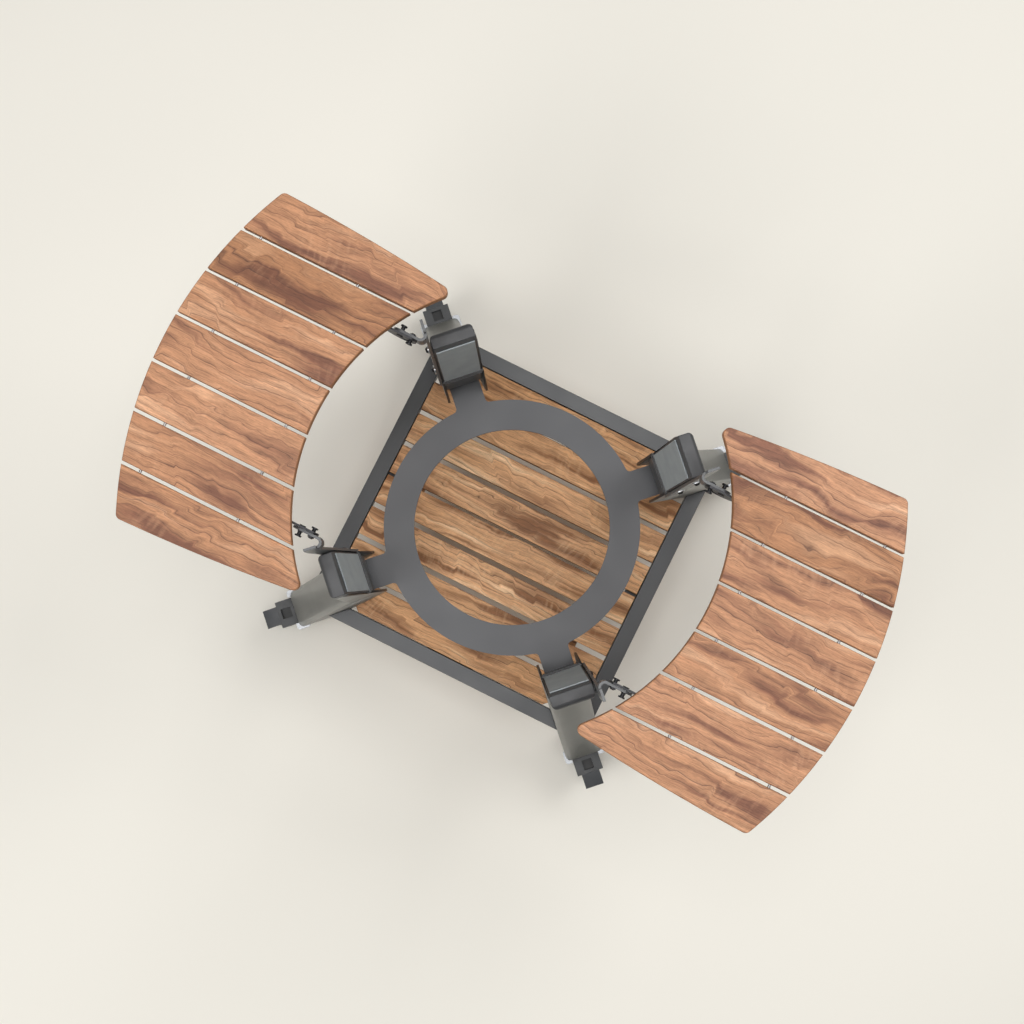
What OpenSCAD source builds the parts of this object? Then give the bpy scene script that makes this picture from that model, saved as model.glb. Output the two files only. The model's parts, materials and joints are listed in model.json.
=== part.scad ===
// Kamado grill table: four folded steel legs on braked casters carry a ring plate, a slatted lower
// shelf and two slatted side tables that fold down. Origin on the floor under the ring's centre,
// +X towards the right side table, +Z up. All sizes are in millimetres.

/* [Side tables] */
// Height of the side tables' top face above the top edges of the legs
table_rise = 157; // [145:1:180]
// Thickness of the side table slats
table_slat_t = 18; // [14:1:22]
// Distance from one side table slat to the next
table_slat_pitch = 73.7; // [70:0.1:76]
// Open gap between side table slats
table_slat_gap = 4.8; // [3:0.1:8]
// Number of slats in a side table
table_slats = 7; // [5:2:7]
// Radius of the hollow edge that faces the grill
table_inner_r = 331.2; // [326:0.1:340]
// How far the centre of the hollow edge lies beyond the ring's centre
table_inner_back = 26.4; // [22:0.1:30]
// Radius of the bowed outer edge
table_outer_r = 602.2; // [590:0.1:620]
// How far the centre of the bowed outer edge lies beyond the ring's centre
table_outer_back = 57.4; // [40:0.1:70]
// Half the side table's depth at the crest of its end edges
table_half_d = 258; // [250:1:266]
// Radius of the bow of the end edges
end_edge_r = 2950; // [2000:10:4000]
// Distance of the crest of the end edges from the ring's centre
end_crest_x = 568; // [540:1:600]
// Radius of the side table's corners
table_corner_r = 9; // [5:0.5:14]
// Diameter of the rods that thread the slats together
rod_d = 4; // [3:0.5:6]
// Distance of the inner rod from the ring's centre
inner_rod_x = 335; // [325:1:360]
// Distance of the outer rod from the ring's centre
outer_rod_x = 488; // [450:1:500]
// Half the length of the rods
rod_half = 234; // [220:1:238]

/* [Side table rails and pins] */
// Thickness of the rails under the side tables
rail_t = 3; // [2:0.5:4]
// Depth of the rails below the slats
rail_d = 28; // [24:1:34]
// Width of the rails' flange under the slats
rail_flange_w = 20; // [16:1:26]
// Distance of the rails' outer ends from the ring's centre
rail_end_x = 505; // [470:1:515]
// Where the rails' flange starts, from the ring's centre
rail_flange_x = 285; // [280:1:300]
// Distance of the hinge pins from the ring's centre
pivot_x = 254; // [250:1:256]
// Depth of the hinge pins below the slats' underside
pivot_drop = 16; // [14:0.5:20]
// Distance from a hinge pin to its clamp bolt
clamp_reach = 17; // [15:0.5:19]
// Shank diameter of the hinge pins and clamp bolts
pin_d = 6; // [4:0.5:7]
// Head diameter of the hinge pins and clamp bolts
pin_head_d = 10; // [8:0.5:12]
// Head thickness of the hinge pins and clamp bolts
pin_head_t = 2.5; // [2:0.1:4]
// How far a hinge pin's head stands off its arm
hinge_stand = 6; // [3:0.5:8]
// How far a clamp bolt's head stands off its rail
clamp_stand = 3.7; // [2:0.1:6]
// Metal left around the guide slot
slot_margin = 5.5; // [4:0.5:7]
// Shank diameter of the screws that hold the rails to the slats
rail_screw_d = 4; // [3:0.5:5]
// How far the rail screws reach into the slats
rail_screw_grip = 12; // [8:1:14]
// Distance of the rail screws from the rods
rail_screw_off = 24; // [14:1:40]
// Angle through which the side tables fold down
fold_angle = 90; // [70:1:90]

/* [Side table brackets] */
// Sheet thickness of the brackets
bracket_t = 4; // [3:0.5:5]
// Distance of the bracket arms from the side table's centre line
arm_y = 157; // [150:1:162]
// Radius of the bracket's bend, on the middle of the sheet
bracket_bend_r = 7; // [6:0.5:10]
// Radius of the rounded arm end round the hinge pin
arm_end_r = 12; // [10:0.5:13]
// Depth of the arm's root below the hinge pin
arm_root_drop = 20; // [13:1:40]
// Depth of the bracket's top below the side table's top face
bracket_top_drop = 8; // [5:1:20]
// Width of the bracket's free end beyond the bend
bracket_tail = 18; // [12:1:22]
// Depth of the bracket's foot below the pad's lower edge
bracket_foot_drop = 22; // [10:1:40]
// How far the bracket's inner edge stands back from the pad's face
bracket_edge = 1; // [0:0.5:4]
// How far the bracket's outer edge stands back from the leg's outer face
bracket_back = 3.5; // [2:0.5:5]
// Depth of the lower bracket bolt below the leg's top edge
lower_bolt_drop = 120; // [100:1:135]
// Depth of the upper bracket bolt below the leg's top edge
upper_bolt_drop = 14; // [10:1:25]
// Distance of the lower bracket bolt from the ring's centre
lower_bolt_r = 265; // [263:0.5:270]
// Distance of the upper bracket bolt from the ring's centre
upper_bolt_r = 279; // [276:0.5:281]
// Shank diameter of the bracket bolts
bracket_bolt_d = 6; // [5:0.5:8]

/* [Legs] */
// Width of a leg's channel
leg_w = 70; // [64:1:76]
// Sheet thickness of the legs
leg_t = 4; // [3:0.5:5]
// Outer radius of the bends along a leg
leg_bend_r = 9; // [7:0.5:12]
// Height of the leg's top edge, which carries the cap, above the knee
post_h = 285; // [275:1:300]
// Height of the knee, level with the top of the ring plate
knee_z = 465; // [450:1:480]
// Distance of the leg's outer face from the centre at the top
leg_top_r = 291.5; // [288:0.5:295]
// Distance of the leg's outer face from the centre at the knee
knee_r = 304; // [300:0.5:310]
// Distance of the leg's outer face from the centre at the foot
foot_r = 431; // [425:1:436]
// Depth of the leg's channel at the knee
knee_depth = 73; // [68:0.5:78]
// Depth of the leg's channel at the foot
foot_depth = 81; // [77:1:86]
// Thickness of the plate that closes the foot
foot_plate_t = 5; // [4:0.5:6]

/* [Caps and pads] */
// Depth of the pad's lower edge below the leg's top edge
pad_bottom_drop = 162; // [155:1:170]
// Height of the pad's upper edge above the leg's top edge
pad_top_rise = 10; // [5:1:14]
// Distance of the pad's face from the centre at its lower edge
pad_bottom_r = 248.4; // [244:0.1:252]
// Distance of the pad's face from the centre at its upper edge
pad_top_r = 264.7; // [262:0.1:268]
// Width of the pad
pad_w = 60.6; // [54:0.1:62]
// Thickness of the pad
pad_t = 2; // [1.5:0.1:3]
// Thickness of the cap's skin behind the pad
cap_skin_t = 2.5; // [2:0.1:3]
// Depth of the cap's plug between the leg's sides
cap_plug_d = 9; // [5:0.5:12]
// Gap between the ring plate and the tongue that hangs from the cap between the leg's sides
cap_tongue_gap = 40; // [20:1:60]
// Thickness of the cap's tongue
cap_tongue_t = 4; // [3:0.5:6]
// Width of the cap
cap_w = 67; // [64:0.5:69]
// Height of the cap's crown above the leg
crown_h = 20; // [16:1:24]
// Distance of the crown's outer face from the centre
crown_r = 293; // [292:0.5:296]
// Radius of the crown's rounded corners and edges
crown_round_r = 8; // [5:0.5:9]
// Height of the cap's lip below the pad
cap_lip_h = 8; // [5:0.5:12]
// How far the lip stands in front of the pad's face
cap_lip_out = 1.9; // [0.5:0.1:3]
// Width of the groove between the crown and the pad
cap_groove = 6; // [4:0.5:8]

/* [Ring plate] */
// Outer radius of the ring plate
ring_outer_r = 214.4; // [205:0.1:222]
// Inner radius of the ring plate
ring_inner_r = 163.6; // [155:0.1:175]
// Thickness of the ring plate
ring_t = 6; // [5:0.5:8]
// Width of the ring plate's tabs
tab_w = 51.4; // [44:0.1:58]
// Radius of the fillets at the roots of the tabs
tab_fillet_r = 7; // [4:0.5:10]
// Length of the seats under the ring plate's tabs, from the leg's outer face
seat_l = 42; // [34:1:49]
// Sheet thickness of the seats under the tabs
seat_t = 4; // [3:0.5:5]
// Depth of the seats' ribs
seat_rib_d = 26; // [18:1:34]
// Distance of the ring screws in from the leg's outer face
ring_screw_back = 24; // [18:1:30]
// Shank diameter of the ring screws
ring_screw_d = 6; // [5:0.5:8]

/* [Lower shelf] */
// Height of the shelf frame's top face
shelf_top_z = 242; // [230:1:255]
// Half the outer width of the shelf frame
shelf_half = 280; // [276:1:284]
// Width of the shelf frame's tubes
bar_w = 28; // [24:1:32]
// Depth of the shelf frame's tubes
bar_h = 28; // [25:1:34]
// Wall of the shelf frame's tubes
bar_wall = 2; // [1.5:0.5:3]
// Number of slats in the shelf
shelf_slats = 8; // [6:2:10]
// Thickness of the shelf slats
shelf_slat_t = 20; // [16:1:20]
// Gap between shelf slats
shelf_gap = 9; // [6:0.5:11]
// Gap between the two middle shelf slats
shelf_mid_gap = 5.4; // [4:0.1:8]
// Gap between the slats and the frame
shelf_edge_gap = 1.3; // [0.5:0.1:3]
// Depth of the slats' top face below the frame's top face
shelf_slat_drop = 1.5; // [0:0.5:3]
// Length of the ledges that carry the slats
ledge_l = 92; // [70:1:110]
// Width of the ledges
ledge_w = 22; // [16:1:28]
// Thickness of the ledges
ledge_t = 4; // [3:0.5:5]
// Distance of the battens under the slats from the centre
batten_x = 186.5; // [150:0.5:200]
// Width of the battens
batten_w = 14; // [12:1:20]
// Depth of the battens
batten_h = 16; // [12:1:20]

/* [Casters] */
// Height of a caster from the floor to the top of its plate
caster_h = 128; // [124:1:134]
// Distance of the swivel axes in from the outer faces of the legs' feet
swivel_back = 40; // [38:0.5:43]
// Offset of the wheel's axle from the swivel axis
caster_trail = 38; // [34:0.5:40]
// Diameter of the wheels
wheel_d = 100; // [92:1:102]
// Width of the tyres
tyre_w = 32; // [28:0.5:33]
// Depth of the tyre's tread
tyre_t = 12; // [8:0.5:14]
// Radius of the tyre's shoulders
tyre_round_r = 4; // [2:0.5:6]
// Diameter of the axles
axle_d = 8; // [6:0.5:10]
// Length of the caster plate under the leg, along the leg's radius
plate_l = 80; // [76:1:82]
// Width of the caster plate under the leg
plate_w = 68; // [62:1:70]
// Width of the caster plate across its two ears
ear_w = 77; // [72:1:84]
// Length of the caster plate's ears
ear_l = 26; // [22:1:34]
// How far the ears reach out past the rest of the plate
ear_out = 5.5; // [3:0.5:8]
// Gap between the ears and the brake housing, as seen from above
ear_gap = 0.5; // [0.5:0.5:3]
// Thickness of the caster plate
plate_t = 4; // [3:0.5:5]
// Radius of the caster plate's corners
plate_corner_r = 6; // [3:0.5:10]
// Bolt spacing of the caster plate along the leg's radius
plate_bolt_l = 42; // [40:0.5:46]
// Bolt spacing of the caster plate across the leg
plate_bolt_w = 40; // [38:0.5:42]
// Shank diameter of the caster bolts
plate_bolt_d = 8; // [6:0.5:8.5]
// Sheet thickness of the fork
fork_t = 2.5; // [2:0.5:3]
// Gap between the tyre's sides and the fork
fork_gap = 3; // [2:0.5:4]
// Thickness of the fork's crown
fork_crown_t = 5; // [4:0.5:6]
// Gap between the tyre and the fork's crown
fork_head_gap = 5; // [4:0.5:7]
// Radius of the swivel bearing
race_r = 21.5; // [18:0.5:22]
// Diameter of the swivel's kingpin
kingpin_d = 10; // [8:0.5:12]

/* [Brakes] */
// Width of the brake housing
housing_w = 50; // [46:1:56]
// Length of the brake housing
housing_l = 31; // [28:0.5:34]
// Height of the brake housing
housing_h = 18; // [16:0.5:20]
// Wall of the brake housing's top
housing_top_t = 4.5; // [3:0.5:5]
// Side of the square window in the brake housing
window_w = 19; // [14:0.5:22]
// Width of the brake pedal
pedal_w = 34.6; // [30:0.1:36]
// How far the pedal reaches beyond its housing
pedal_reach = 29; // [22:0.5:34]
// Thickness of the pedal
pedal_t = 5.5; // [4:0.5:6.5]
// How far the pedal slopes down before its turned-down end
pedal_drop = 4; // [2:0.5:6]
// Length of the pedal's turned-down end
pedal_end_l = 9; // [6:0.5:12]
// How far the pedal's end turns down
pedal_end_drop = 6; // [2:0.5:8]
// Diameter of the pedal's trunnions
trunnion_d = 5; // [4:0.5:6]
// Clearance above the pedal's root, which rises as the pedal is pressed
pedal_lift = 2; // [1.8:0.1:3]
// Angle through which the pedal is pressed
pedal_angle = 8; // [4:0.5:9]

/* [Hidden] */
$fn = 96;
// Overrun of every cut past the face that it opens
cut = 1;
// Radial clearance of a bore that turns on its pin
run_fit = 0.05;
// Radial clearance of a plain screw hole
screw_fit = 0.3;
// Gap between pieces that slide past each other
slide_gap = 0.3;
// Side clearance of the pedal in its housing
pedal_gap = 0.5;
// Half turn of the square plan: legs stand on its diagonals
diagonal = 45;
full_turn = 360;
// Steps in the outline of a bracket's bend
bend_steps = 18;

leg_top_z = knee_z + post_h;
table_h = leg_top_z + table_rise;
slat_under_z = table_h - table_slat_t;
pivot_z = slat_under_z - pivot_drop;
leg_half = leg_w / 2;
leg_inside = leg_half - leg_t;
foot_z = caster_h;
foot_inner_r = foot_r - foot_depth;
tip_r = knee_r - knee_depth;
seat_r = knee_r - seat_l;
ring_screw_r = knee_r - ring_screw_back;
crown_z = leg_top_z + crown_h;
pad_top_z = leg_top_z + pad_top_rise;
pad_bottom_z = leg_top_z - pad_bottom_drop;
upper_bolt_z = leg_top_z - upper_bolt_drop;
lower_bolt_z = leg_top_z - lower_bolt_drop;
wheel_r = wheel_d / 2;
swivel_r = foot_r - swivel_back;
axle_r = swivel_r + caster_trail;
fork_inside = tyre_w / 2 + fork_gap;
fork_half = fork_inside + fork_t;
crown_low_z = wheel_d + fork_head_gap;
crown_high_z = crown_low_z + fork_crown_t;
race_h = (caster_h - plate_t - crown_high_z) / 4;
housing_r = swivel_r + race_r * 2;
housing_end_r = housing_r + housing_l;
housing_top_z = crown_high_z + fork_gap;
housing_low_z = housing_top_z - housing_h;
head_t_share = 0.55;
nut_share = 1.75;
hex_share = 1.6;
washer_share = 2.4;
washer_t_share = 0.3;

// Corner signs of the four legs
back_right = [1, 1];
back_left = [-1, 1];
front_left = [-1, -1];
front_right = [1, -1];
CORNERS = [back_right, back_left, front_left, front_right];

// Distance of the leg's outer face from the centre at height z
function web_r(z) = z > knee_z
    ? knee_r - (z - knee_z) * (knee_r - leg_top_r) / (leg_top_z - knee_z)
    : knee_r + (knee_z - z) * (foot_r - knee_r) / (knee_z - foot_z);

// Distance of the lower leg's inner face from the centre at height z
function web_inner_r(z) = web_r(z) - leg_t * norm([foot_r - knee_r, knee_z - foot_z]) / (knee_z - foot_z);

// Distance of the lower leg's inner edge from the centre at height z
function inner_edge_r(z) = tip_r + (knee_z - z) * (foot_inner_r - tip_r) / (knee_z - foot_z);

// Distance of the pad's face from the centre at height z
function pad_r(z) = pad_bottom_r
    + (z - pad_bottom_z) * (pad_top_r - pad_bottom_r) / (pad_top_z - pad_bottom_z);

// Tilt of a straight line in the leg's plane from point a up to point b
function tilt(a, b) = atan2(b[0] - a[0], b[1] - a[1]);

// Where two circles meet, on the left of the way from the first centre to the second
function meet(c1, r1, c2, r2) =
    let (d = norm(c2 - c1),
         along = (d * d + r1 * r1 - r2 * r2) / (2 * d),
         aside = sqrt(r1 * r1 - along * along),
         way = (c2 - c1) / d)
    c1 + along * way + aside * [-way[1], way[0]];

// Turns the leg's plane, where X is the distance from the centre, to one corner of the table
module at_corner(corner) {
    flip_x(corner[0] < 0)
        flip_y(corner[1] < 0)
            children();
}

module flip_x(on) {
    if (on) mirror([1, 0, 0]) children();
    else children();
}

module flip_y(on) {
    if (on) mirror([0, 1, 0]) children();
    else children();
}

module on_diagonal() {
    rotate([0, 0, diagonal]) children();
}

// Extrudes an outline drawn in the X-Z plane from y = low to y = high
module across(low, high) {
    translate([0, high, 0])
        rotate([90, 0, 0])
            linear_extrude(high - low) children();
}

// A rod or hole along Y
module cross_rod(d, x, z, low, high) {
    translate([x, high, z])
        rotate([90, 0, 0])
            cylinder(d = d, h = high - low);
}

// A rectangle with four rounded corners, its lower left corner at the origin
module rounded_box(w, d, r) {
    translate([r, 0]) square([w - 2 * r, d]);
    translate([0, r]) square([w, d - 2 * r]);
    for (x = [r, w - r], y = [r, d - r])
        translate([x, y]) circle(r);
}

// Channel section with its back at x = 0 and its sides towards -X
module channel_section() {
    difference() {
        translate([-leg_depth, -leg_half]) rounded_box(leg_depth, leg_w, leg_bend_r);
        translate([-leg_depth, 0]) channel_filling(leg_t);
        translate([-leg_depth - cut, -leg_half - cut]) square([leg_bend_r + cut, leg_w + 2 * cut]);
    }
}

// What fills the channel to within an inset of its outer faces
module channel_filling(inset) {
    translate([-inset, inset - leg_half])
        rounded_box(leg_depth, leg_w - 2 * inset, leg_bend_r - inset);
}

// Extrudes a section along the leg's outer face from point a up to point b, and past both
module channel_run(a, b) {
    translate([a[0], 0, a[1]])
        rotate([0, tilt(a, b), 0])
            translate([0, 0, -leg_depth])
                linear_extrude(norm(b - a) + 2 * leg_depth) children();
}

leg_top = [leg_top_r, leg_top_z];
leg_knee = [knee_r, knee_z];
leg_foot = [foot_r, foot_z];
leg_depth = knee_r - tip_r + foot_r - foot_inner_r;
lap_t = pad_t + cap_skin_t;
lip_low_z = pad_bottom_z - cap_lip_h;

// How far the upper channel reaches into the lower one at the welded knee
weld_lap = leg_t / 2;

// The leg seen from its side, open towards its outer face, above or below the knee's mitre
module leg_side(above) {
    notch_z = lip_low_z - slide_gap;
    notch_r = pad_r(notch_z) + lap_t;
    front_r = tip_r + (notch_z - knee_z) * (pad_bottom_r - tip_r) / (pad_bottom_z - knee_z);
    mitre = (tilt(leg_foot, leg_knee) + tilt(leg_knee, leg_top)) / 2;
    far = foot_r + leg_w;
    intersection() {
        polygon([[foot_inner_r, foot_z], [far, foot_z], [far, leg_top_z],
            [pad_r(leg_top_z) + lap_t, leg_top_z], [notch_r, notch_z], [front_r, notch_z],
            [tip_r, knee_z]]);
        translate(leg_knee)
            rotate(-mitre)
                translate([-far, above ? -weld_lap : -far]) square([2 * far, far + weld_lap]);
    }
}

// Two channels mitred at the knee, with a plate that closes the foot
module leg_blank() {
    plate_top_z = foot_z + foot_plate_t;
    intersection() {
        channel_run(leg_knee, leg_top) channel_section();
        across(-leg_w, leg_w) leg_side(true);
    }
    intersection() {
        channel_run(leg_foot, leg_knee) channel_section();
        across(-leg_w, leg_w) leg_side(false);
    }
    intersection() {
        channel_run(leg_foot, leg_knee)
            translate([-leg_depth, 0]) channel_filling(leg_t / 2);
        across(-leg_w, leg_w)
            polygon([[foot_inner_r, foot_z], [foot_r, foot_z], [foot_r, plate_top_z],
                [inner_edge_r(plate_top_z), plate_top_z]]);
    }
}

// Folded seat with two ribs, welded inside the leg, that carries one of the ring plate's tabs
module ring_seat() {
    high_z = knee_z - ring_t;
    low_z = high_z - seat_t;
    rib_low_z = high_z - seat_rib_d;
    rib_y = tab_w / 2 - seat_t;
    across(-tab_w / 2, tab_w / 2)
        polygon([[seat_r, high_z], [seat_r, low_z],
            [web_inner_r(low_z), low_z], [web_inner_r(high_z), high_z]]);
    for (side = [-1, 1])
        across(side * rib_y - seat_t / 2, side * rib_y + seat_t / 2)
            polygon([[seat_r, low_z], [seat_r, low_z - seat_t],
                [web_inner_r(rib_low_z) - seat_t, rib_low_z],
                [web_inner_r(rib_low_z), rib_low_z], [web_inner_r(low_z), low_z]]);
}

module leg() {
    color("#6f6e6a")
        on_diagonal()
            difference() {
                union() {
                    leg_blank();
                    ring_seat();
                }
                at_ring_screws()
                    translate([0, 0, knee_z - ring_t - seat_t - cut])
                        cylinder(d = ring_screw_d + 2 * screw_fit, h = seat_t + 2 * cut);
                for (spot = bracket_bolt_spots())
                    cross_rod(bracket_bolt_d + 2 * run_fit, spot[0], spot[1],
                        -leg_half - cut, -leg_inside + cut);
                caster_bolt_holes(foot_z - cut, foot_plate_t + 2 * cut);
            }
}

function bracket_bolt_spots() = [[lower_bolt_r, lower_bolt_z], [upper_bolt_r, upper_bolt_z]];

module at_caster_bolts() {
    for (x = [-1, 1], y = [-1, 1])
        translate([swivel_r + x * plate_bolt_l / 2, y * plate_bolt_w / 2, 0]) children();
}

module caster_bolt_holes(low_z, h) {
    at_caster_bolts()
        translate([0, 0, low_z])
            cylinder(d = plate_bolt_d + 2 * screw_fit, h = h);
}

// Moulded cap: a crown on the leg's top edge, a skin over its inner edges, a plug between its
// sides and a tongue that hangs from the plug
module cap() {
    groove_z = pad_top_z + slide_gap;
    back_z = leg_top_z - crown_h;
    plug_z = lower_bolt_z - pin_head_d;
    plug_t = lap_t + cap_plug_d;
    tongue_r = pad_bottom_r - cap_lip_out + slide_gap;
    tongue_low_z = knee_z + cap_tongue_gap;
    color("#3b3c3e")
        on_diagonal() {
            difference() {
                across(-cap_w / 2, cap_w / 2)
                    polygon([[crown_r, leg_top_z], [crown_r, crown_z],
                        [pad_top_r + cap_groove, crown_z], [pad_r(groove_z) + pad_t, groove_z],
                        [pad_r(pad_bottom_z) + pad_t, pad_bottom_z],
                        [pad_bottom_r - cap_lip_out, pad_bottom_z],
                        [pad_bottom_r - cap_lip_out, lip_low_z],
                        [pad_r(lip_low_z) + lap_t, lip_low_z], [pad_r(leg_top_z) + lap_t, leg_top_z]]);
                crown_corner_cuts();
            }
            across(-leg_inside + slide_gap, leg_inside - slide_gap)
                polygon([[tongue_r, lip_low_z + cap_lip_h / 2],
                    [tongue_r, tongue_low_z],
                    [tongue_r + cap_tongue_t, tongue_low_z],
                    [pad_r(lip_low_z) + plug_t, lip_low_z],
                    [pad_r(plug_z) + plug_t, plug_z],
                    [pad_r(back_z) + plug_t, back_z],
                    [web_r(back_z) - leg_bend_r, back_z],
                    [web_r(leg_top_z) - leg_bend_r, leg_top_z],
                    [pad_r(leg_top_z) + pad_t + cap_skin_t / 2, leg_top_z],
                    [pad_r(pad_bottom_z) + pad_t + cap_skin_t / 2, pad_bottom_z]]);
        }
}

// Rounds the crown's two outer corners and its outer top edge
module crown_corner_cuts() {
    r = crown_round_r;
    for (side = [-1, 1])
        translate([crown_r - r, side * (cap_w / 2 - r), leg_top_z - cut])
            linear_extrude(crown_h + 2 * cut)
                difference() {
                    translate([0, side > 0 ? 0 : -r - cut]) square([r + cut, r + cut]);
                    circle(r);
                }
    across(-cap_w, cap_w)
        translate([crown_r - r, crown_z - r])
            difference() {
                square([r + cut, r + cut]);
                circle(r);
            }
}

module cap_pads() {
    color("#7b7d7c")
        for (corner = CORNERS)
            at_corner(corner)
                on_diagonal()
                    across(-pad_w / 2, pad_w / 2)
                        polygon([[pad_bottom_r, pad_bottom_z], [pad_bottom_r + pad_t, pad_bottom_z],
                            [pad_top_r + pad_t, pad_top_z], [pad_top_r, pad_top_z]]);
}

// Ring with four tabs that reach into the legs, with filleted roots
module ring_plate() {
    tab_end = web_inner_r(knee_z) - slide_gap;
    root_y = tab_w / 2 + tab_fillet_r;
    fillet_x = sqrt(pow(ring_outer_r + tab_fillet_r, 2) - pow(root_y, 2));
    color("#606163")
        translate([0, 0, knee_z - ring_t])
            linear_extrude(ring_t)
                difference() {
                    union() {
                        circle(ring_outer_r, $fn = 2 * $fn);
                        for (corner = CORNERS)
                            at_corner(corner)
                                rotate(diagonal) {
                                    translate([0, -tab_w / 2]) square([tab_end, tab_w]);
                                    difference() {
                                        translate([0, -root_y]) square([fillet_x, 2 * root_y]);
                                        for (side = [-1, 1])
                                            translate([fillet_x, side * root_y]) circle(tab_fillet_r);
                                    }
                                }
                    }
                    circle(ring_inner_r, $fn = 2 * $fn);
                    for (corner = CORNERS)
                        at_corner(corner)
                            rotate(diagonal)
                                at_ring_screws() circle(d = ring_screw_d + 2 * screw_fit);
                }
}

module at_ring_screws() {
    for (side = [-1, 1])
        translate([ring_screw_r, side * tab_w / 4, 0]) children();
}

// A screw that stands on z = 0, with its head above and its nut below a stack of the given grip
module screw(d, grip) {
    head_t = d * head_t_share;
    cylinder(d = d * nut_share, h = head_t);
    translate([0, 0, -grip - d]) cylinder(d = d, h = grip + d);
    translate([0, 0, -grip - head_t - d / 4]) cylinder(d = d * nut_share, h = head_t + d / 4, $fn = 6);
}

module ring_screws() {
    color("#3a3a3a")
        for (corner = CORNERS)
            at_corner(corner)
                on_diagonal()
                    at_ring_screws()
                        translate([0, 0, knee_z]) screw(ring_screw_d, ring_t + seat_t);
}

// Places of the bracket's bend, in plan, for the back right corner
plate_mid = leg_half + bracket_t / 2;
bend_start_y = arm_y + bracket_bend_r * (1 + cos(diagonal));
bend_start_x = bend_start_y + plate_mid / cos(diagonal);
bend_start_r = (bend_start_x + bend_start_y) * cos(diagonal);
bend_centre = [bend_start_x + bracket_bend_r * cos(diagonal),
               bend_start_y - bracket_bend_r * sin(diagonal)];

// The bend in plan about its own centre, with a short straight stretch at both ends
module bracket_bend() {
    outer = bracket_bend_r + bracket_t / 2;
    inner = bracket_bend_r - bracket_t / 2;
    start = 90 + diagonal;
    turns = [for (k = [0 : bend_steps]) start + k * start / bend_steps];
    lap = bracket_t;
    plate_way = lap * [cos(diagonal), sin(diagonal)];
    polygon(concat(
        [outer * [cos(start), sin(start)] + plate_way],
        [for (turn = turns) outer * [cos(turn), sin(turn)]],
        [[lap, -outer], [lap, -inner]],
        [for (k = [0 : bend_steps]) inner * [cos(turns[bend_steps - k]), sin(turns[bend_steps - k])]],
        [inner * [cos(start), sin(start)] + plate_way]));
}

// Upright plate on the leg's side, bent back above the cap into an arm along X
module bracket() {
    top_z = table_h - bracket_top_drop;
    arm_top_z = pivot_z + arm_end_r;
    root_z = pivot_z - arm_root_drop;
    foot_low_z = pad_bottom_z - bracket_foot_drop;
    back_r = web_r(leg_top_z) - bracket_back;
    low_y = -leg_half - bracket_t;
    color("#6a6a68")
        difference() {
            union() {
                on_diagonal()
                    across(low_y, -leg_half)
                        polygon([[pad_r(foot_low_z) + bracket_edge, foot_low_z],
                            [pad_r(foot_low_z) + leg_bend_r, foot_low_z],
                            [back_r, lower_bolt_z - pin_head_d],
                            [back_r, crown_z],
                            [bend_start_r + bracket_tail, root_z],
                            [bend_start_r + bracket_tail, top_z],
                            [bend_start_r, top_z],
                            [bend_start_r, root_z],
                            [pad_r(crown_z) + bracket_edge, crown_z]]);
                translate([bend_centre[0], bend_centre[1], root_z])
                    linear_extrude(arm_top_z - root_z) bracket_bend();
                across(arm_y - bracket_t / 2, arm_y + bracket_t / 2) {
                    polygon([[bend_centre[0], root_z], [bend_centre[0], arm_top_z],
                        [pivot_x, arm_top_z], [pivot_x, pivot_z - arm_end_r],
                        [bend_centre[0] + bracket_t, root_z]]);
                    translate([pivot_x, pivot_z]) circle(arm_end_r);
                }
            }
            on_diagonal()
                for (spot = bracket_bolt_spots())
                    cross_rod(bracket_bolt_d + 2 * screw_fit, spot[0], spot[1],
                        low_y - cut, -leg_half + cut);
            for (x = [pivot_x, pivot_x - clamp_reach])
                cross_rod(pin_d + 2 * run_fit, x, pivot_z, arm_y - bracket_t, arm_y + bracket_t);
        }
}

bracket_washer_t = bracket_bolt_d * washer_t_share;

// Button head with its hexagon socket, washer side towards the bracket
module bracket_bolts() {
    seat_y = -leg_half - bracket_t - bracket_washer_t;
    head_t = bracket_bolt_d * head_t_share;
    color("#2f3032")
        for (corner = CORNERS)
            at_corner(corner)
                on_diagonal()
                    for (spot = bracket_bolt_spots())
                        difference() {
                            union() {
                                cross_rod(bracket_bolt_d, spot[0], spot[1], seat_y, -leg_inside);
                                translate([spot[0], seat_y, spot[1]])
                                    rotate([90, 0, 0])
                                        cylinder(d1 = bracket_bolt_d * nut_share,
                                            d2 = bracket_bolt_d, h = head_t);
                            }
                            translate([spot[0], seat_y - head_t + head_t / 2, spot[1]])
                                rotate([90, 0, 0])
                                    cylinder(d = bracket_bolt_d * 2 / 3, h = head_t, $fn = 6);
                        }
}

module bracket_washers() {
    face_y = -leg_half - bracket_t;
    color("#c9cacb")
        for (corner = CORNERS)
            at_corner(corner)
                on_diagonal()
                    for (spot = bracket_bolt_spots())
                        difference() {
                            cross_rod(bracket_bolt_d * washer_share, spot[0], spot[1],
                                face_y - bracket_washer_t, face_y);
                            cross_rod(bracket_bolt_d + 2 * run_fit, spot[0], spot[1],
                                face_y - bracket_washer_t - cut, face_y + cut);
                        }
}

rail_high_y = arm_y - bracket_t / 2 - slide_gap;
rail_low_y = rail_high_y - rail_t;

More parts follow.
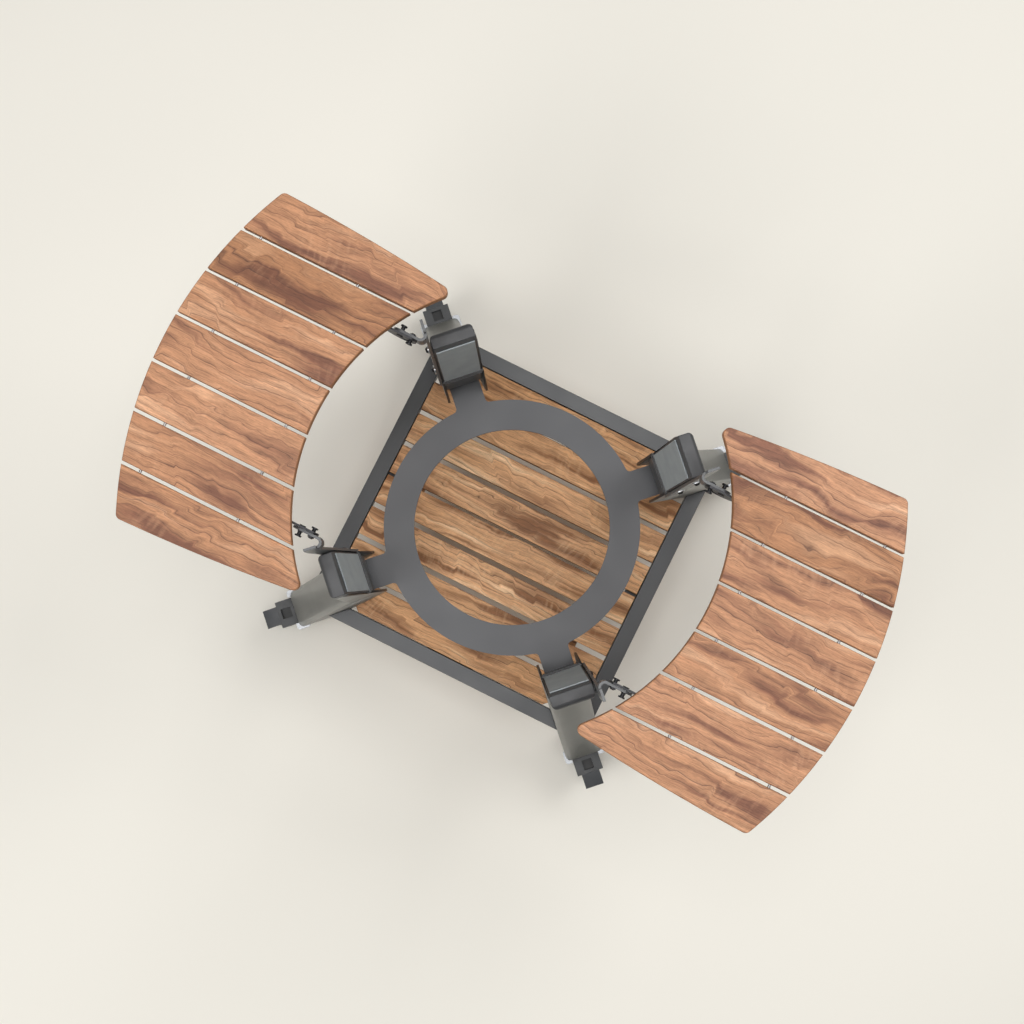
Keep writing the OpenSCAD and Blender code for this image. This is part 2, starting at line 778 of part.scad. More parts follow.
// Pins through the arms and rails, with a collar inside and a head that stands off outside
module hinge_pins() {
    out_y = arm_y + bracket_t / 2;
    collar_t = pin_head_t / 2;
    collar_y = rail_low_y - slide_gap;
    color("#2f3032")
        for (corner = CORNERS)
            at_corner(corner) {
                cross_rod(pin_d, pivot_x, pivot_z, collar_y - collar_t, out_y + hinge_stand);
                cross_rod(pin_head_d, pivot_x, pivot_z, collar_y - collar_t, collar_y);
                cross_rod(pin_head_d, pivot_x, pivot_z, out_y + hinge_stand,
                    out_y + hinge_stand + pin_head_t);
                cross_rod(pin_d + bracket_t / 2, pivot_x, pivot_z, out_y, out_y + pin_head_t / 2);
            }
}

// Bolts that run in the rails' guide slots, with the nut on the arm's outer side
module clamp_bolts() {
    out_y = arm_y + bracket_t / 2;
    head_y = rail_low_y - clamp_stand;
    x = pivot_x - clamp_reach;
    color("#2f3032")
        for (corner = CORNERS)
            at_corner(corner) {
                cross_rod(pin_d, x, pivot_z, head_y - pin_head_t, out_y + pin_head_t * 3 / 2);
                cross_rod(pin_head_d, x, pivot_z, head_y - pin_head_t, head_y);
                translate([x, out_y + pin_head_t, pivot_z])
                    rotate([90, 0, 0])
                        cylinder(d = pin_head_d, h = pin_head_t, $fn = 6);
            }
}

// Four tubes between the legs; their mitred ends meet the legs' sides
module shelf_frame() {
    reach = leg_half / cos(diagonal);
    low_z = shelf_top_z - bar_h;
    color("#4b4d50")
        for (turn = [0 : 90 : full_turn - 90])
            rotate([0, 0, turn])
                difference() {
                    translate([0, 0, low_z])
                        linear_extrude(bar_h)
                            polygon([[shelf_inside, reach - shelf_inside],
                                [shelf_half, reach - shelf_half],
                                [shelf_half, shelf_half - reach],
                                [shelf_inside, shelf_inside - reach]]);
                    translate([shelf_inside + bar_wall, -shelf_half, low_z + bar_wall])
                        cube([bar_w - 2 * bar_wall, 2 * shelf_half, bar_h - 2 * bar_wall]);
                }
}

shelf_inside = shelf_half - bar_w;
shelf_slat_top = shelf_top_z - shelf_slat_drop;
shelf_slat_low = shelf_slat_top - shelf_slat_t;
shelf_slat_w = (2 * (shelf_inside - shelf_edge_gap) - shelf_mid_gap
    - (shelf_slats - 2) * shelf_gap) / shelf_slats;

module shelf_ledges() {
    color("#1c1c1d")
        for (turn = [0 : 90 : full_turn - 90])
            rotate([0, 0, turn])
                translate([shelf_inside - ledge_w, -ledge_l / 2, shelf_slat_low - ledge_t])
                    cube([ledge_w, ledge_l, ledge_t]);
}

// Slats along X; the outer ones lose the corners that the legs stand in
module shelf_slats() {
    long = shelf_inside - shelf_edge_gap;
    corner_r = inner_edge_r(shelf_slat_top) - shelf_edge_gap;
    color("#c98f55")
        translate([0, 0, shelf_slat_low])
            linear_extrude(shelf_slat_t)
                intersection() {
                    for (side = [-1, 1], k = [0 : shelf_slats / 2 - 1]) {
                        low = shelf_mid_gap / 2 + k * (shelf_slat_w + shelf_gap);
                        translate([-long, side > 0 ? low : -low - shelf_slat_w])
                            square([2 * long, shelf_slat_w]);
                    }
                    rotate(diagonal) square(2 * corner_r, center = true);
                }
}

module shelf_battens() {
    long = shelf_inside - shelf_edge_gap - shelf_slat_w / 4;
    color("#a87443")
        for (side = [-1, 1])
            translate([side * batten_x - batten_w / 2, -long, shelf_slat_low - batten_h])
                cube([batten_w, 2 * long, batten_h]);
}

module caster_bolts() {
    head_t = plate_bolt_d * head_t_share;
    stack = plate_t + foot_plate_t;
    color("#b9babb")
        for (corner = CORNERS)
            at_corner(corner)
                on_diagonal()
                    at_caster_bolts()
                        translate([0, 0, foot_z - plate_t]) {
                            translate([0, 0, -head_t])
                                cylinder(d = plate_bolt_d * hex_share, h = head_t, $fn = 6);
                            cylinder(d = plate_bolt_d, h = stack + head_t * 2);
                            translate([0, 0, stack])
                                cylinder(d = plate_bolt_d * hex_share, h = head_t * 3 / 2, $fn = 6);
                        }
}

// Outline of the caster plate: narrow under the leg, with an ear on each side of the brake housing
module plate_outline() {
    inner_r = swivel_r - plate_l / 2;
    outer_r = swivel_r + plate_l / 2;
    notch_w = housing_w + 2 * ear_gap;
    difference() {
        union() {
            translate([inner_r, -plate_w / 2]) rounded_box(plate_l, plate_w, plate_corner_r);
            translate([outer_r + ear_out - ear_l, -ear_w / 2])
                rounded_box(ear_l, ear_w, plate_corner_r);
        }
        translate([outer_r, -notch_w / 2]) square([ear_l, notch_w]);
    }
}

// Fixed half of a caster: plate, bearing cup and kingpin with its head
module caster_plate() {
    cup_low_z = crown_high_z + race_h + slide_gap;
    head_d = kingpin_d * 8 / 5;
    head_low_z = crown_low_z - fork_head_gap + slide_gap;
    color("#d0d1d2")
        on_diagonal()
            difference() {
                union() {
                    translate([0, 0, caster_h - plate_t])
                        linear_extrude(plate_t) plate_outline();
                    translate([swivel_r, 0, cup_low_z])
                        cylinder(r = race_r, h = caster_h - plate_t - cup_low_z);
                    translate([swivel_r, 0, head_low_z])
                        cylinder(d = kingpin_d, h = cup_low_z - head_low_z + cut);
                    translate([swivel_r, 0, head_low_z])
                        cylinder(d = head_d, h = crown_low_z - slide_gap - head_low_z);
                }
                caster_bolt_holes(caster_h - plate_t - cut, plate_t + 2 * cut);
            }
}

// Swivelling fork: crown, lower race and two cheeks down to the axle
module caster_fork() {
    boss_r = axle_d * 3 / 2;
    back_r = swivel_r - race_r;
    mid_z = (crown_low_z + wheel_r) / 2;
    color("#c4c5c7")
        on_diagonal()
            difference() {
                union() {
                    translate([back_r, -fork_half, crown_low_z])
                        cube([housing_r - back_r, 2 * fork_half, fork_crown_t]);
                    translate([swivel_r, 0, crown_high_z])
                        cylinder(r = race_r, h = race_h);
                    for (side = [-1, 1])
                        across(side > 0 ? fork_inside : -fork_half, side > 0 ? fork_half : -fork_inside) {
                            polygon([[back_r, crown_high_z], [housing_r, crown_high_z],
                                [housing_r, mid_z], [axle_r + boss_r, wheel_r],
                                [axle_r - boss_r, wheel_r], [back_r, crown_low_z - fork_crown_t]]);
                            translate([axle_r, wheel_r]) circle(boss_r);
                        }
                }
                translate([swivel_r, 0, crown_low_z - cut])
                    cylinder(d = kingpin_d + 2 * run_fit, h = fork_crown_t + race_h + 2 * cut);
                cross_rod(axle_d + 2 * run_fit, axle_r, wheel_r, -fork_half - cut, fork_half + cut);
            }
}

module caster_axle() {
    head_t = axle_d * head_t_share;
    color("#b9babb")
        on_diagonal() {
            cross_rod(axle_d, axle_r, wheel_r, -fork_half - head_t, fork_half + head_t * 3 / 2);
            cross_rod(axle_d * nut_share, axle_r, wheel_r, -fork_half - head_t, -fork_half);
            translate([axle_r, fork_half + head_t, wheel_r])
                rotate([90, 0, 0])
                    cylinder(d = axle_d * nut_share, h = head_t, $fn = 6);
        }
}

// Wheel centre: hub, web and rim turned about the axle
module wheel_hub() {
    rim_r = wheel_r - tyre_t;
    rim_w = tyre_w - 2 * fork_gap;
    rim_t = tyre_t / 3;
    web_w = rim_w / 3;
    hub_w = 2 * (fork_inside - slide_gap);
    color("#55575a")
        on_diagonal()
            translate([axle_r, 0, wheel_r])
                rotate([90, 0, 0])
                    rotate_extrude()
                        difference() {
                            union() {
                                translate([0, -hub_w / 2]) square([axle_d, hub_w]);
                                translate([0, -web_w / 2]) square([rim_r, web_w]);
                                translate([rim_r - rim_t, -rim_w / 2]) square([rim_t, rim_w]);
                            }
                            translate([0, -hub_w]) square([axle_d / 2 + run_fit, 2 * hub_w]);
                        }
}

module wheel_tyre() {
    rim_r = wheel_r - tyre_t;
    color("#3d3e40")
        on_diagonal()
            translate([axle_r, 0, wheel_r])
                rotate([90, 0, 0])
                    rotate_extrude()
                        intersection() {
                            translate([rim_r - tyre_t, -tyre_w / 2])
                                rounded_box(2 * tyre_t, tyre_w, tyre_round_r);
                            translate([rim_r, -tyre_w]) square([tyre_t, 2 * tyre_w]);
                        }
}

pocket_r = housing_r + housing_top_t;
window_r = pocket_r + 2 * pedal_gap;
pivot_r = window_r + window_w / 2;
pedal_top_z = housing_top_z - housing_top_t - pedal_lift;
trunnion_z = pedal_top_z - pedal_t / 2;

// Housing over the pedal's root, open below and outwards, with a square window on top
module brake_housing() {
    pocket_w = pedal_w + 2 * pedal_gap;
    roof_z = housing_top_z - housing_top_t;
    color("#3f4143")
        on_diagonal()
            difference() {
                translate([housing_r, -housing_w / 2, housing_low_z])
                    cube([housing_l, housing_w, housing_h]);
                translate([pocket_r, -pocket_w / 2, housing_low_z - cut])
                    cube([housing_l, pocket_w, roof_z - housing_low_z + cut]);
                translate([window_r, -window_w / 2, roof_z - cut])
                    cube([window_w, window_w, housing_top_t + 2 * cut]);
                cross_rod(wheel_d + fork_gap, axle_r, wheel_r, -pocket_w / 2, pocket_w / 2);
                cross_rod(trunnion_d + 2 * run_fit, pivot_r, trunnion_z,
                    -housing_w / 2 - cut, housing_w / 2 + cut);
            }
}

// Pedal with trunnions and a brake shoe that follows the tyre when the pedal is pressed
module brake_pedal() {
    end_r = housing_end_r + pedal_reach;
    bend_r = end_r - pedal_end_l;
    low_z = pedal_top_z - pedal_t;
    shoe_w = tyre_w - 2 * fork_t;
    shoe_in = pivot_r + trunnion_d / 2;
    shoe_out = housing_end_r - fork_t;
    color("#46484a")
        on_diagonal() {
            across(-pedal_w / 2, pedal_w / 2)
                polygon([[window_r, low_z], [window_r, pedal_top_z], [housing_end_r, pedal_top_z],
                    [bend_r, pedal_top_z - pedal_drop],
                    [end_r, pedal_top_z - pedal_drop - pedal_end_drop],
                    [end_r, low_z - pedal_drop - pedal_end_drop],
                    [bend_r, low_z - pedal_drop], [housing_end_r, low_z]]);
            across(-shoe_w / 2, shoe_w / 2)
                difference() {
                    translate([shoe_in, wheel_r])
                        square([shoe_out - shoe_in, low_z - wheel_r]);
                    translate([pivot_r, trunnion_z])
                        rotate(pedal_angle)
                            translate([axle_r - pivot_r, wheel_r - trunnion_z])
                                circle(wheel_r + 2 * slide_gap);
                }
            cross_rod(trunnion_d, pivot_r, trunnion_z, -housing_w / 2 + pedal_gap / 2,
                housing_w / 2 - pedal_gap / 2);
        }
}

// Outline of the right side table
inner_centre = [-table_inner_back, 0];
outer_centre = [-table_outer_back, 0];
end_centre = [end_crest_x, table_half_d - end_edge_r];
inner_round = meet(inner_centre, table_inner_r + table_corner_r,
                   end_centre, end_edge_r - table_corner_r);
outer_round = meet(outer_centre, table_outer_r - table_corner_r,
                   end_centre, end_edge_r - table_corner_r);

// Keeps only the fillet's circle between a corner and the two touching points
module corner_trim(centre, corner, from_a, from_b) {
    difference() {
        polygon([centre, centre + from_a, corner + from_a + from_b, centre + from_b]);
        translate(centre) circle(table_corner_r);
    }
}

function unit(v) = v / norm(v);

module table_outline() {
    reach = 3 * table_corner_r;
    fine = 4 * $fn;
    inner_corner = meet(inner_centre, table_inner_r, end_centre, end_edge_r);
    outer_corner = meet(outer_centre, table_outer_r, end_centre, end_edge_r);
    difference() {
        intersection() {
            translate(outer_centre) circle(table_outer_r, $fn = fine);
            translate(end_centre) circle(end_edge_r, $fn = 4 * fine);
            mirror([0, 1]) translate(end_centre) circle(end_edge_r, $fn = 4 * fine);
            translate([0, -table_outer_r]) square(2 * table_outer_r);
        }
        translate(inner_centre) circle(table_inner_r, $fn = fine);
        for (side = [0, 1])
            mirror([0, side]) {
                corner_trim(inner_round, inner_corner,
                    reach * unit(inner_round - end_centre),
                    reach * unit(inner_centre - inner_round));
                corner_trim(outer_round, outer_corner,
                    reach * unit(outer_round - outer_centre),
                    reach * unit(outer_round - end_centre));
            }
    }
}

module table_slat_group() {
    color("#c08a63")
        difference() {
            translate([0, 0, slat_under_z])
                linear_extrude(table_slat_t)
                    difference() {
                        table_outline();
                        for (k = [0 : table_slats - 2])
                            translate([0, (k - (table_slats - 2) / 2) * table_slat_pitch
                                - table_slat_gap / 2])
                                square([2 * table_outer_r, table_slat_gap]);
                    }
            for (x = [inner_rod_x, outer_rod_x])
                cross_rod(rod_d + 2 * run_fit, x, rod_z, -rod_half - run_fit, rod_half + run_fit);
            at_rail_screws()
                translate([0, 0, slat_under_z - cut])
                    cylinder(d = rail_screw_d + 2 * run_fit, h = rail_screw_grip + run_fit + cut);
        }
}

rod_z = slat_under_z + table_slat_t / 2;

module at_rail_screws() {
    for (x = [inner_rod_x - rail_screw_off, inner_rod_x + rail_screw_off, outer_rod_x - rail_screw_off],
            side = [-1, 1])
        translate([x, side * (rail_low_y - rail_flange_w / 2), 0]) children();
}

module rail_screws() {
    head_t = rail_screw_d * head_t_share;
    color("#3a3a3a")
        at_rail_screws()
            translate([0, 0, slat_under_z - rail_t]) {
                cylinder(d = rail_screw_d, h = rail_t + rail_screw_grip);
                translate([0, 0, -head_t]) cylinder(d = 2 * rail_screw_d, h = head_t);
            }
}

module table_rod_pair() {
    color("#c9cacb")
        for (x = [inner_rod_x, outer_rod_x])
            cross_rod(rod_d, x, rod_z, -rod_half, rod_half);
}

// Angle rails under the slats, each with a round end, a hinge hole and a quarter guide slot
module table_rail_pair() {
    end_r = clamp_reach + pin_d / 2 + slide_gap + slot_margin;
    slot_r = pin_d / 2 + slide_gap;
    color("#2b2c2e")
        for (side = [0, 1])
            mirror([0, side, 0]) {
                across(rail_low_y, rail_high_y)
                    difference() {
                        union() {
                            translate([pivot_x, slat_under_z - rail_d])
                                square([rail_end_x - pivot_x, rail_d]);
                            intersection() {
                                translate([pivot_x, pivot_z]) circle(end_r);
                                translate([pivot_x - end_r, pivot_z - end_r])
                                    square([2 * end_r, end_r + pivot_drop]);
                            }
                        }
                        translate([pivot_x, pivot_z]) {
                            circle(d = pin_d + 2 * run_fit);
                            intersection() {
                                difference() {
                                    circle(clamp_reach + slot_r);
                                    circle(clamp_reach - slot_r);
                                }
                                translate([-2 * end_r, -2 * end_r]) square(2 * end_r);
                            }
                            for (turn = [0, fold_angle])
                                rotate(turn)
                                    translate([-clamp_reach, 0]) circle(slot_r);
                        }
                    }
                translate([rail_flange_x, rail_low_y - rail_flange_w, slat_under_z - rail_t])
                    difference() {
                        cube([rail_end_x - rail_flange_x, rail_flange_w, rail_t]);
                        translate([-rail_flange_x, rail_flange_w - rail_low_y, -cut])
                            at_rail_screws()
                                cylinder(d = rail_screw_d + 2 * screw_fit, h = rail_t + 2 * cut);
                    }
            }
}

ring_plate();
ring_screws();
at_corner(back_right) leg();  // leg_back_right
at_corner(back_left) leg();  // leg_back_left
at_corner(front_left) leg();  // leg_front_left
at_corner(front_right) leg();  // leg_front_right
at_corner(back_right) cap();  // cap_back_right
at_corner(back_left) cap();  // cap_back_left
at_corner(front_left) cap();  // cap_front_left
at_corner(front_right) cap();  // cap_front_right
cap_pads();
at_corner(back_right) bracket();  // bracket_back_right
at_corner(back_left) bracket();  // bracket_back_left
at_corner(front_left) bracket();  // bracket_front_left
at_corner(front_right) bracket();  // bracket_front_right
bracket_bolts();
bracket_washers();
hinge_pins();
clamp_bolts();
shelf_frame();
shelf_ledges();
shelf_slats();
shelf_battens();
caster_bolts();
at_corner(back_right) caster_plate();  // caster_plate_back_right
at_corner(back_left) caster_plate();  // caster_plate_back_left
at_corner(front_left) caster_plate();  // caster_plate_front_left
at_corner(front_right) caster_plate();  // caster_plate_front_right
at_corner(back_right) caster_fork();  // caster_fork_back_right
at_corner(back_left) caster_fork();  // caster_fork_back_left
at_corner(front_left) caster_fork();  // caster_fork_front_left
at_corner(front_right) caster_fork();  // caster_fork_front_right
at_corner(back_right) caster_axle();  // caster_axle_back_right
at_corner(back_left) caster_axle();  // caster_axle_back_left
at_corner(front_left) caster_axle();  // caster_axle_front_left
at_corner(front_right) caster_axle();  // caster_axle_front_right
at_corner(back_right) wheel_hub();  // wheel_hub_back_right
at_corner(back_left) wheel_hub();  // wheel_hub_back_left
at_corner(front_left) wheel_hub();  // wheel_hub_front_left
at_corner(front_right) wheel_hub();  // wheel_hub_front_right
at_corner(back_right) wheel_tyre();  // wheel_tyre_back_right
at_corner(back_left) wheel_tyre();  // wheel_tyre_back_left
at_corner(front_left) wheel_tyre();  // wheel_tyre_front_left
at_corner(front_right) wheel_tyre();  // wheel_tyre_front_right
at_corner(back_right) brake_housing();  // brake_housing_back_right
at_corner(back_left) brake_housing();  // brake_housing_back_left
at_corner(front_left) brake_housing();  // brake_housing_front_left
at_corner(front_right) brake_housing();  // brake_housing_front_right
at_corner(back_right) brake_pedal();  // brake_pedal_back_right
at_corner(back_left) brake_pedal();  // brake_pedal_back_left
at_corner(front_left) brake_pedal();  // brake_pedal_front_left
at_corner(front_right) brake_pedal();  // brake_pedal_front_right
table_slat_group();  // right_table_slats
table_rail_pair();  // right_table_rails
table_rod_pair();  // right_table_rods
rail_screws();  // right_rail_screws
flip_x(true) table_slat_group();  // left_table_slats
flip_x(true) table_rail_pair();  // left_table_rails
flip_x(true) table_rod_pair();  // left_table_rods
flip_x(true) rail_screws();  // left_rail_screws
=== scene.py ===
"""A kamado grill table: four powder coated steel legs on braked casters, a ring plate for the
grill, a slatted shelf and two folding side tables. Metres, Z up, with the floor at z = 0."""

import json
from math import radians

import bmesh
import bpy
import numpy as np
from mathutils import Matrix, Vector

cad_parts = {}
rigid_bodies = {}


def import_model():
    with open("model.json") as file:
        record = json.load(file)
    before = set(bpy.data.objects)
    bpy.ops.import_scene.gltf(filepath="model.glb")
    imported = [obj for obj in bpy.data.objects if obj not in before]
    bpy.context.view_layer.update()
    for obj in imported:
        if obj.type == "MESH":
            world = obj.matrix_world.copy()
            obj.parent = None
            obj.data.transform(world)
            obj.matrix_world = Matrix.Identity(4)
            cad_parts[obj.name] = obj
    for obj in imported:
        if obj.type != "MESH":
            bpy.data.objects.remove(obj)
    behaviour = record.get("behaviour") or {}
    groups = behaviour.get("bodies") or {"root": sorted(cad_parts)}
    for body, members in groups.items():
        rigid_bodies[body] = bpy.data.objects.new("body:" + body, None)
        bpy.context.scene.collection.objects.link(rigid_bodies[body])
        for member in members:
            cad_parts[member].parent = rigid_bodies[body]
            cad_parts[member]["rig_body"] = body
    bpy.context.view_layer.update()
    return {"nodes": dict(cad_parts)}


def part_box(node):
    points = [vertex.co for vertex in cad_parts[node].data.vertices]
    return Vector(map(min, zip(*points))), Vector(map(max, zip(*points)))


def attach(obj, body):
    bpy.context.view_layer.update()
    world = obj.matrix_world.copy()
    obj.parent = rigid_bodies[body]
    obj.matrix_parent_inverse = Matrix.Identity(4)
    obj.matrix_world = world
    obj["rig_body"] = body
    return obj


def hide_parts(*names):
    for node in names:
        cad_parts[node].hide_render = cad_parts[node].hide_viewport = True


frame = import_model()
scene = bpy.context.scene
scene.view_settings.view_transform = "Standard"


# ---- Camera
# The photograph looks almost straight down from about three metres, turned by 26.5 degrees
# against the table. The camera's axes are the picture's right, its up and the way to the lens.
def placed(name, data):
    """Adds an object with this data to the scene, at the origin."""
    made = bpy.data.objects.new(name, data)
    scene.collection.objects.link(made)
    return made


view_right = np.array([0.8949, 0.4463, 0.0])
view_back = np.array([0.0300, -0.0600, 0.9978])
view_up = np.cross(view_back, view_right)
view_spot = (0.0670, -0.1341, 3.0683)
focal_pixels, frame_pixels = 1560, 1024
lens_data = bpy.data.cameras.new("overhead_lens")
lens_data.sensor_width = 36.0
lens_data.lens = focal_pixels / frame_pixels * lens_data.sensor_width
lens_data.clip_start, lens_data.clip_end = 0.05, 60.0
camera = placed("overhead_camera", lens_data)
turn = Matrix(np.stack([view_right, view_up, view_back], axis=1).tolist()).to_4x4()
camera.matrix_world = Matrix.Translation(view_spot) @ turn
scene.camera = camera


# ---- Studio
# A seamless warm white floor under three wide softboxes, one overhead, one towards the lower left
# of the picture and one towards its upper right, in a pale room that is dim near the floor.
def linear(colour):
    """An sRGB hex colour as linear light: c / 12.92 up to 0.04045, and above it
    ((c + 0.055) / 1.055) to the power 2.4."""
    share = np.array([int(colour[k:k + 2], 16) for k in (1, 3, 5)]) / 255
    light = np.where(share <= 0.04045, share / 12.92, ((share + 0.055) / 1.055) ** 2.4)
    return (*light.tolist(), 1.0)


def add(tree, kind, links=None, stops=None, **settings):
    """Adds one shader node with its settings, its ramp stops, and its inputs linked or set."""
    node = tree.nodes.new("ShaderNode" + kind)
    for name, value in settings.items():
        setattr(node, name, value)
    for name, value in (links or {}).items():
        if isinstance(value, bpy.types.NodeSocket):
            tree.links.new(value, node.inputs[name])
        else:
            node.inputs[name].default_value = value
    for k, (place, colour) in enumerate(stops or []):
        ramp = node.color_ramp.elements
        stop = ramp[k] if k < 2 else ramp.new(place)
        stop.position, stop.color = place, linear(colour)
    return node


def new_material(name):
    """An empty node material with its surface output ready to be linked."""
    made = bpy.data.materials.new(name)
    made.use_nodes = True
    made.node_tree.nodes.clear()
    return made, made.node_tree, add(made.node_tree, "OutputMaterial").inputs["Surface"]


def background_ray(tree):
    """1 for the rays that show the background: from the camera, or through something clear."""
    path = add(tree, "LightPath")
    either = add(tree, "Math", {0: path.outputs["Is Camera Ray"],
                                1: path.outputs["Is Transmission Ray"]}, operation="MAXIMUM")
    return either.outputs[0]


# The floor's paper glows from glow_near to glow_far metres out, and only where it is seen itself,
# so that it meets the pale room at the horizon.
glow_near, glow_far, glow_most = 1.8, 6.0, 0.8
floor_paper, tree, surface = new_material("seamless_floor_paper")
spot = add(tree, "TexCoord").outputs["Object"]
cloud = add(tree, "TexNoise", {"Vector": spot, "Scale": 1.3, "Detail": 1.0})
tint = add(tree, "ValToRGB", {"Fac": cloud.outputs["Fac"]}, [(0.3, "#eeebe2"), (0.7, "#f1eee5")])
away = add(tree, "VectorMath", {0: spot}, operation="LENGTH")
fade = add(tree, "MapRange", {"Value": away.outputs["Value"], "From Min": glow_near,
                              "From Max": glow_far, "To Max": glow_most})
glow = add(tree, "Math", {0: fade.outputs["Result"], 1: background_ray(tree)}, operation="MULTIPLY")
paper = add(tree, "BsdfPrincipled", {"Base Color": tint.outputs["Color"], "Roughness": 0.9,
                                     "Specular IOR Level": 0.1,
                                     "Emission Color": linear("#f1efe9"),
                                     "Emission Strength": glow.outputs[0]})
tree.links.new(paper.outputs["BSDF"], surface)
reach = 14.0
floor_mesh = bpy.data.meshes.new("studio_floor")
floor_mesh.from_pydata([(-reach, -reach, 0), (reach, -reach, 0), (reach, reach, 0),
                        (-reach, reach, 0)], [], [(0, 1, 2, 3)])
floor_mesh.materials.append(floor_paper)
studio_floor = placed("studio_floor", floor_mesh)

# The room's light rises from the horizon to straight above; the room that is seen is pale.
room_low, room_high, room_seen = 0.05, 0.29, 0.97
room = bpy.data.worlds.new("pale_room")
scene.world = room
room.use_nodes = True
tree = room.node_tree
tree.nodes.clear()
way = add(tree, "SeparateXYZ", {"Vector": add(tree, "TexCoord").outputs["Generated"]})
dome = add(tree, "MapRange", {"Value": way.outputs["Z"], "To Min": room_low, "To Max": room_high})
level = add(tree, "Math", {0: background_ray(tree), 1: room_seen, 2: dome.outputs["Result"]},
            operation="MULTIPLY_ADD")
walls = add(tree, "Background", {"Color": linear("#f5f5f4"), "Strength": level.outputs[0]})
add(tree, "OutputWorld", {"Surface": walls.outputs["Background"]})


def softbox(name, place, aim, size, watts):
    """A square area light of a given edge and power at place, whose -Z axis looks at aim."""
    data = bpy.data.lights.new(name, "AREA")
    data.shape, data.size, data.energy, data.color = "SQUARE", size, watts, linear("#fffefd")[:3]
    lamp = placed(name, data)
    back = np.array(place) - np.array(aim)
    back = back / np.linalg.norm(back)
    side = np.cross([0.0, 1.0, 0.1], back)
    side = side / np.linalg.norm(side)
    axes = np.stack([side, np.cross(back, side), back], axis=1)
    lamp.matrix_world = Matrix.Translation(place) @ Matrix(axes.tolist()).to_4x4()


softbox("softbox_overhead", (0.0, 0.0, 7.0), aim=(0.0, 0.0, 0.0), size=3.0, watts=160.0)
softbox("softbox_near", (-1.55, -2.50, 4.2), aim=(0.0, 0.0, 0.4), size=2.5, watts=92.0)
softbox("softbox_far", (1.55, 2.50, 4.2), aim=(0.0, 0.0, 0.4), size=2.5, watts=92.0)


# ---- Legs
# Each leg is two channels folded from 4 mm steel sheet, mitred and welded at the knee, with a
# plate that closes the foot and a seat for the ring's tab; blasted, then powder coated warm grey.
knee_z = 0.465
inner_r, inner_slope = 0.166, 0.139  # the inner edge of the upper leg lies at inner_r + slope * z
strip_deep, strip_above = 0.005, 0.0005


def diagonal_place(tree, place):
    """|x| + |y| and |z| of a place. In a leg or a caster |x| + |y| is sqrt(2) times the distance
    from the middle along the leg's diagonal, wherever the place lies across the leg."""
    size = add(tree, "VectorMath", {0: place}, operation="ABSOLUTE")
    size = add(tree, "SeparateXYZ", {"Vector": size.outputs[0]})
    both = add(tree, "Math", {0: size.outputs["X"], 1: size.outputs["Y"]}, operation="ADD")
    return both.outputs[0], size.outputs["Z"]


def powder_coat(name, colour, deep, roughness=0.36, strip=None):
    """Baked polyester powder on blasted steel: a satin skin whose orange peel is about 1.6 mm
    across, with a tone that drifts by a few percent over some 70 mm where the powder lay thicker.
    A near-black strip colour covers the upper legs' inner edges, partly a black edge band and
    partly painted shade on the flanges' shaded inner faces: it lies where the distance along the
    leg's diagonal is less than strip_deep past the inner edge, above the knee."""
    drift_size, peel_size, peel_depth = 0.07, 0.0016, 0.00012
    made, tree, surface = new_material(name)
    place = add(tree, "TexCoord").outputs["Object"]
    drift = add(tree, "TexNoise", {"Vector": place, "Scale": 1 / drift_size, "Detail": 2.0})
    body = add(tree, "ValToRGB", {"Fac": drift.outputs["Fac"]}, [(0.32, deep), (0.68, colour)])
    tone = body.outputs["Color"]
    # the strip is partly painted shade over the flanges' inner edges above the knee
    if strip:
        out, height = diagonal_place(tree, place)
        past = add(tree, "Math", {0: height, 1: -inner_slope * np.sqrt(2), 2: out},
                   operation="MULTIPLY_ADD")
        inner = add(tree, "Math", {0: past.outputs[0], 1: (inner_r + strip_deep) * np.sqrt(2)},
                    operation="LESS_THAN")
        above = add(tree, "Math", {0: height, 1: knee_z + strip_above}, operation="GREATER_THAN")
        edge = add(tree, "Math", {0: inner.outputs[0], 1: above.outputs[0]}, operation="MULTIPLY")
        tone = add(tree, "Mix", {0: edge.outputs[0], 6: tone, 7: linear(strip)},
                   data_type="RGBA").outputs[2]
    peel = add(tree, "TexNoise", {"Vector": place, "Scale": 1 / peel_size, "Detail": 1.0})
    flow = add(tree, "MapRange", {"Value": drift.outputs["Fac"], "From Min": 0.3, "From Max": 0.7,
                                  "To Min": roughness - 0.04, "To Max": roughness + 0.05})
    bump = add(tree, "Bump", {"Height": peel.outputs["Fac"], "Strength": 0.25,
                              "Distance": peel_depth})
    skin = add(tree, "BsdfPrincipled", {"Base Color": tone, "Roughness": flow.outputs["Result"],
                                        "Normal": bump.outputs["Normal"], "IOR": 1.5})
    tree.links.new(skin.outputs["BSDF"], surface)
    return made


